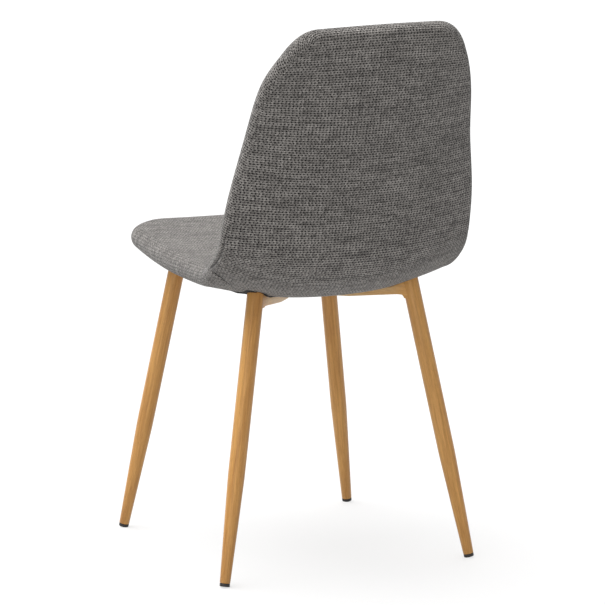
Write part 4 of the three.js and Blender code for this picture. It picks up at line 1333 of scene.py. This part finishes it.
cloth_x, cloth_places = dust_cloth_places()
dust_points = under_point(cloth_x, cloth_places, dust_cloth_lift(cloth_x, cloth_places))
index = np.arange(CLOTH_ROWS * CLOTH_COLUMNS).reshape(CLOTH_ROWS, CLOTH_COLUMNS)
dust_faces = [quad(index, row, column) for row, column in np.ndindex(CLOTH_ROWS - 1, CLOTH_COLUMNS - 1)]
dust_mesh = mesh_of("dust_cloth", dust_points.reshape(-1, 3), dust_faces)
dust_piece = new_piece("stretched_dust_cloth", dust_mesh)

# %% [markdown]
# ### Holes for the pads
#
# The rubber pads on the bars press on the plywood, so the cloth has a round hole for each of them. A Boolean
# modifier could punch it, but it is easily confused by an open sheet. So the faces over a pad are deleted,
# and the points round the gap are moved onto a circle.

# %% Holes where the rubber pads come through
PAD_ROOM = 0.0106
RIM_ROOM = PAD_ROOM * 1.5


def level_distance(place, centre):
    return (place - centre).xy.length


def cut_pad_holes(piece):
    work = bmesh.new()
    work.from_mesh(piece.data)
    for corner in CORNERS:
        low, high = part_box(f"shell_pad_{corner}")
        centre = (low + high) / 2
        gone = [face for face in work.faces if level_distance(face.calc_center_median(), centre) < PAD_ROOM]
        bmesh.ops.delete(work, geom=gone, context="FACES")
        for vert in work.verts:
            if level_distance(vert.co, centre) < RIM_ROOM and vert.is_boundary:
                away = (vert.co - centre).xy.normalized() * PAD_ROOM
                vert.co.xy = centre.xy + away
    loose = [vert for vert in work.verts if not vert.link_faces]
    bmesh.ops.delete(work, geom=loose, context="VERTS")
    work.to_mesh(piece.data)
    work.free()


cut_pad_holes(dust_piece)
thicken_cloth(dust_piece, CLOTH_THICKNESS, sharp_from=40)
finish_piece(dust_piece, felt_material)
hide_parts("dust_cover")

# %% [markdown]
# ### Staples
#
# The cloth is stapled to the plywood about every 36 mm. An Array modifier along a curve would space copies
# out. A loop was chosen, because each staple also has to lie flat on the curved underside. One staple is
# modelled, and each copy is turned so that its crown follows the edge and its ends bite into the cloth.

# %% One staple
STAPLE_WIDTH = 0.010
STAPLE_WIRE = 0.0006
STAPLE_BEND = 0.001  # how long the bent part at each end is
STAPLE_BITE = 0.0007
STAPLE_ROUND = 0.00015


def one_staple():
    """A staple's crown with its two bent ends, lying at the origin along X."""
    bpy.ops.object.select_all(action="DESELECT")
    bpy.ops.mesh.primitive_cube_add(size=1, location=(0, 0, 0))
    staple = bpy.context.object
    bpy.ops.transform.resize(value=(STAPLE_WIDTH, 2 * STAPLE_WIRE, STAPLE_WIRE))
    bpy.ops.object.transform_apply(location=True, rotation=True, scale=True)
    bpy.ops.object.mode_set(mode="EDIT")
    for place in (-STAPLE_WIDTH / 2 + STAPLE_BEND, STAPLE_WIDTH / 2 - STAPLE_BEND):
        bpy.ops.mesh.select_all(action="SELECT")
        bpy.ops.mesh.bisect(plane_co=(place, 0, 0), plane_no=(1, 0, 0))
    bpy.ops.object.mode_set(mode="OBJECT")
    for vert in staple.data.vertices:
        if abs(vert.co.x) > (STAPLE_WIDTH - STAPLE_BEND) / 2:
            vert.co.z += STAPLE_BITE
    bevel = staple.modifiers.new("edges", "BEVEL")
    bevel.width = STAPLE_ROUND
    bevel.segments = 1
    apply_modifier(staple, bevel)
    return staple


pattern = one_staple()
print("one staple has", len(pattern.data.polygons), "faces")

# %% Staples round the dust cloth
STAPLE_INSET = 0.006
STAPLE_HEIGHT = STAPLE_WIRE * 0.6
FOLDED_CORNER = (0.115, 0.375)  # the cloth is tucked in beyond this place across and along
AHEAD_STEP = 0.002


def staple_places():
    """Where the staples go: a flat place and the direction of the edge there."""
    rows, columns = outline_loop(CLOTH_ROWS, CLOTH_COLUMNS)
    flat = np.stack([cloth_x[rows, columns], cloth_places[rows, columns]], -1)
    step = np.linalg.norm(np.roll(flat, -1, 0) - flat, axis=1)
    run = np.concatenate([[0], np.cumsum(step)])
    count = int(run[-1] / STAPLE_PITCH)
    spots = []
    for number in range(count):
        k = int(np.searchsorted(run, (number + 0.5) * run[-1] / count)) - 1
        ahead = unit(flat[(k + 1) % len(flat)] - flat[k])
        inward = np.array([-ahead[1], ahead[0]])
        spot = flat[k] + inward * STAPLE_INSET
        in_folded_corner = abs(spot[0]) > FOLDED_CORNER[0] and spot[1] > FOLDED_CORNER[1]
        if not in_folded_corner:
            spots.append((spot, ahead))
    return spots


def place_staples(pattern):
    """Copies the pattern to every place, lying on the cloth, and joins the copies into one piece."""
    copies = []
    for flat, ahead in staple_places():
        lift = CLOTH_LIFT + CLOTH_THICKNESS + STAPLE_HEIGHT - taut_corner(*flat)
        here = under_point(*flat, lift)
        there = under_point(*(flat + ahead * AHEAD_STEP), lift)
        along_edge = unit(there - here)
        inward = sheet_normal(*flat)
        sideways = np.cross(inward, along_edge)
        copy = new_piece("staple", pattern.data.copy())
        turn = Matrix([along_edge, sideways, inward]).transposed().to_4x4()
        copy.data.transform(Matrix.Translation(here) @ turn)
        copies.append(copy)
    bpy.data.objects.remove(pattern)
    select_only(*copies)
    bpy.ops.object.join()
    staples = bpy.context.object
    staples.name = "staples"
    print(len(copies), "staples")
    return staples


staples = place_staples(pattern)
finish_piece(staples, zinc_material)

# %% [markdown]
# ## Parts that keep their measured shape
#
# The plywood, the pads, the bolts, the washers and the tee nuts are hidden or hardly seen, and their
# measured shape is right. Modelling them again would change nothing, so they only get a finish.

# %% Finish the measured parts
def node_material(node, material):
    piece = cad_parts[node]
    for slot in piece.material_slots:
        slot.material = material


node_material("plywood_shell", ply_material)
for corner in CORNERS:
    node_material(f"shell_pad_{corner}", plastic_material)
    for kind in ("frame_bolt", "lock_washer", "flat_washer", "tee_nut"):
        node_material(f"{kind}_{corner}", zinc_material)
print("the plywood, the pads and the steel fittings have their finishes")

# %% [markdown]
# ## Camera
#
# The camera stands where the photograph was taken from. It could be placed by eye. Here its place, its
# direction and its lens were fitted to the outlines of the legs and the shell in the photograph. It is given
# as a bearing and a height, then turned a little aside and up and rolled a little.

# %% Camera at the photograph's place
CAMERA_PLACE = Vector((2.30407, 4.87258, 1.37940))
AZIMUTH, ELEVATION, ROLL = math.radians(154.832), math.radians(9.928), math.radians(-0.178)
TURN_ASIDE, TURN_UP = 0.0032, -0.0093
FOCAL_PIXELS = 3584.68
PHOTO_SIDE = 605
SENSOR_WIDTH = 36
VIEW_REACH = 30


def bearing_direction(azimuth, elevation):
    """The direction from the chair to something at a bearing round it and an angle above it."""
    level = math.cos(elevation)
    return Vector((math.sin(azimuth) * level, -math.cos(azimuth) * level, math.sin(elevation)))


def turned(first, second, angle):
    """Two directions that are square to each other, both turned by an angle in their own plane."""
    turned_first = first * math.cos(angle) + second * math.sin(angle)
    turned_second = second * math.cos(angle) - first * math.sin(angle)
    return turned_first, turned_second


away = bearing_direction(AZIMUTH, ELEVATION)
right = Vector((math.cos(AZIMUTH), math.sin(AZIMUTH), 0))
above = away.cross(right)
right, away = turned(right, away, TURN_ASIDE)
above, away = turned(above, away, TURN_UP)
right, above = turned(right, above, ROLL)
bpy.ops.object.camera_add(location=CAMERA_PLACE)
camera = bpy.context.object
camera.rotation_euler = Matrix((right, above, away)).transposed().to_euler()
camera.data.sensor_width = SENSOR_WIDTH
camera.data.lens = FOCAL_PIXELS * SENSOR_WIDTH / PHOTO_SIDE
camera.data.clip_end = VIEW_REACH
bpy.context.scene.camera = camera
print("camera lens", round(camera.data.lens, 1), "mm")

# %% [markdown]
# ## World and lamps
#
# Chairs are photographed in a white room, under large softboxes. Area lamps near the chair would light the
# floor unevenly. So two far lamps, each as wide as a softbox looks from the chair, light everything alike:
# one from above, and a weak one from the camera's side. The world is white where the camera or a reflection
# sees it, and much dimmer as a light.

# %% World and lamps
WORLD_LIGHT = 0.25
LAMP_DISTANCE = 5


def set_world():
    world = bpy.data.worlds.new("studio")
    bpy.context.scene.world = world
    world.use_nodes = True
    tree = world.node_tree
    background = tree.nodes["Background"]
    rays = tree.nodes.new("ShaderNodeLightPath")
    seen = tree.nodes.new("ShaderNodeMath")
    seen.operation = "MAXIMUM"
    tree.links.new(rays.outputs["Is Camera Ray"], seen.inputs[0])
    tree.links.new(rays.outputs["Is Glossy Ray"], seen.inputs[1])
    strength = tree.nodes.new("ShaderNodeMapRange")
    strength.inputs["To Min"].default_value = WORLD_LIGHT
    strength.inputs["To Max"].default_value = 1
    tree.links.new(seen.outputs[0], strength.inputs["Value"])
    tree.links.new(strength.outputs["Result"], background.inputs["Strength"])
    background.inputs["Color"].default_value = (1, 1, 1, 1)


def add_soft_sun(name, azimuth, elevation, strength, softness):
    """A far lamp as wide as a studio softbox looks from the chair, so the whole floor is lit alike."""
    towards = bearing_direction(math.radians(azimuth), math.radians(elevation))
    turn = towards.to_track_quat("Z", "Y").to_euler()
    bpy.ops.object.light_add(type="SUN", location=towards * LAMP_DISTANCE, rotation=turn)
    lamp = bpy.context.object
    lamp.name = name
    lamp.data.energy = strength * math.pi
    lamp.data.angle = math.radians(softness)
    print(name, "shines from", azimuth, "degrees round and", elevation, "degrees up")


set_world()
add_soft_sun("softbox_above", azimuth=50, elevation=70, strength=1.16, softness=70)
add_soft_sun("softbox_behind", azimuth=135, elevation=6, strength=0.18, softness=50)

# %% [markdown]
# ## Floor
#
# The photograph's floor is white, and it lights the bars and the leg tops from below. A plain white floor
# would be as grey as the lamps leave it. So the floor also gives off a little light, and more of it towards
# the camera. Its own grey is rather dark, so that the shadows at the feet stay as faint as in the
# photograph.

# %% Floor
FLOOR_SIZE = 60
FLOOR_GREY = 0.30
FLOOR_ROUGHNESS = 0.9
FLOOR_GLOW = 0.23
FLOOR_GLOW_SEEN = 0.44  # what the camera and the reflections see on top of that
bpy.ops.object.select_all(action="DESELECT")
bpy.ops.mesh.primitive_plane_add(size=FLOOR_SIZE, location=(0, 0, 0))
floor = bpy.context.object
floor.name = "studio_floor"
floor_nodes = Nodes("white_floor")
floor_nodes.finish((FLOOR_GREY, FLOOR_GREY, FLOOR_GREY, 1), FLOOR_ROUGHNESS)
rays = floor_nodes.add("LightPath")
seen = floor_nodes.math("MAXIMUM", rays.outputs["Is Camera Ray"], rays.outputs["Is Glossy Ray"])
strength = floor_nodes.math("MULTIPLY_ADD", seen, FLOOR_GLOW_SEEN, FLOOR_GLOW)
glow = floor_nodes.add("Emission", {"Color": (1, 1, 1, 1), "Strength": strength})
both = floor_nodes.add("AddShader", {0: floor_nodes.shader.outputs[0], 1: glow.outputs[0]})
output = floor_nodes.tree.nodes["Material Output"]
floor_nodes.put(output.inputs["Surface"], both.outputs[0])
floor.data.materials.append(floor_nodes.material)
print("the floor is", FLOOR_SIZE, "m wide")

# %% [markdown]
# ## The end
#
# The picture shows its colours plainly, with the standard view transform.

# %% Show the colours plainly
bpy.context.scene.view_settings.view_transform = "Standard"
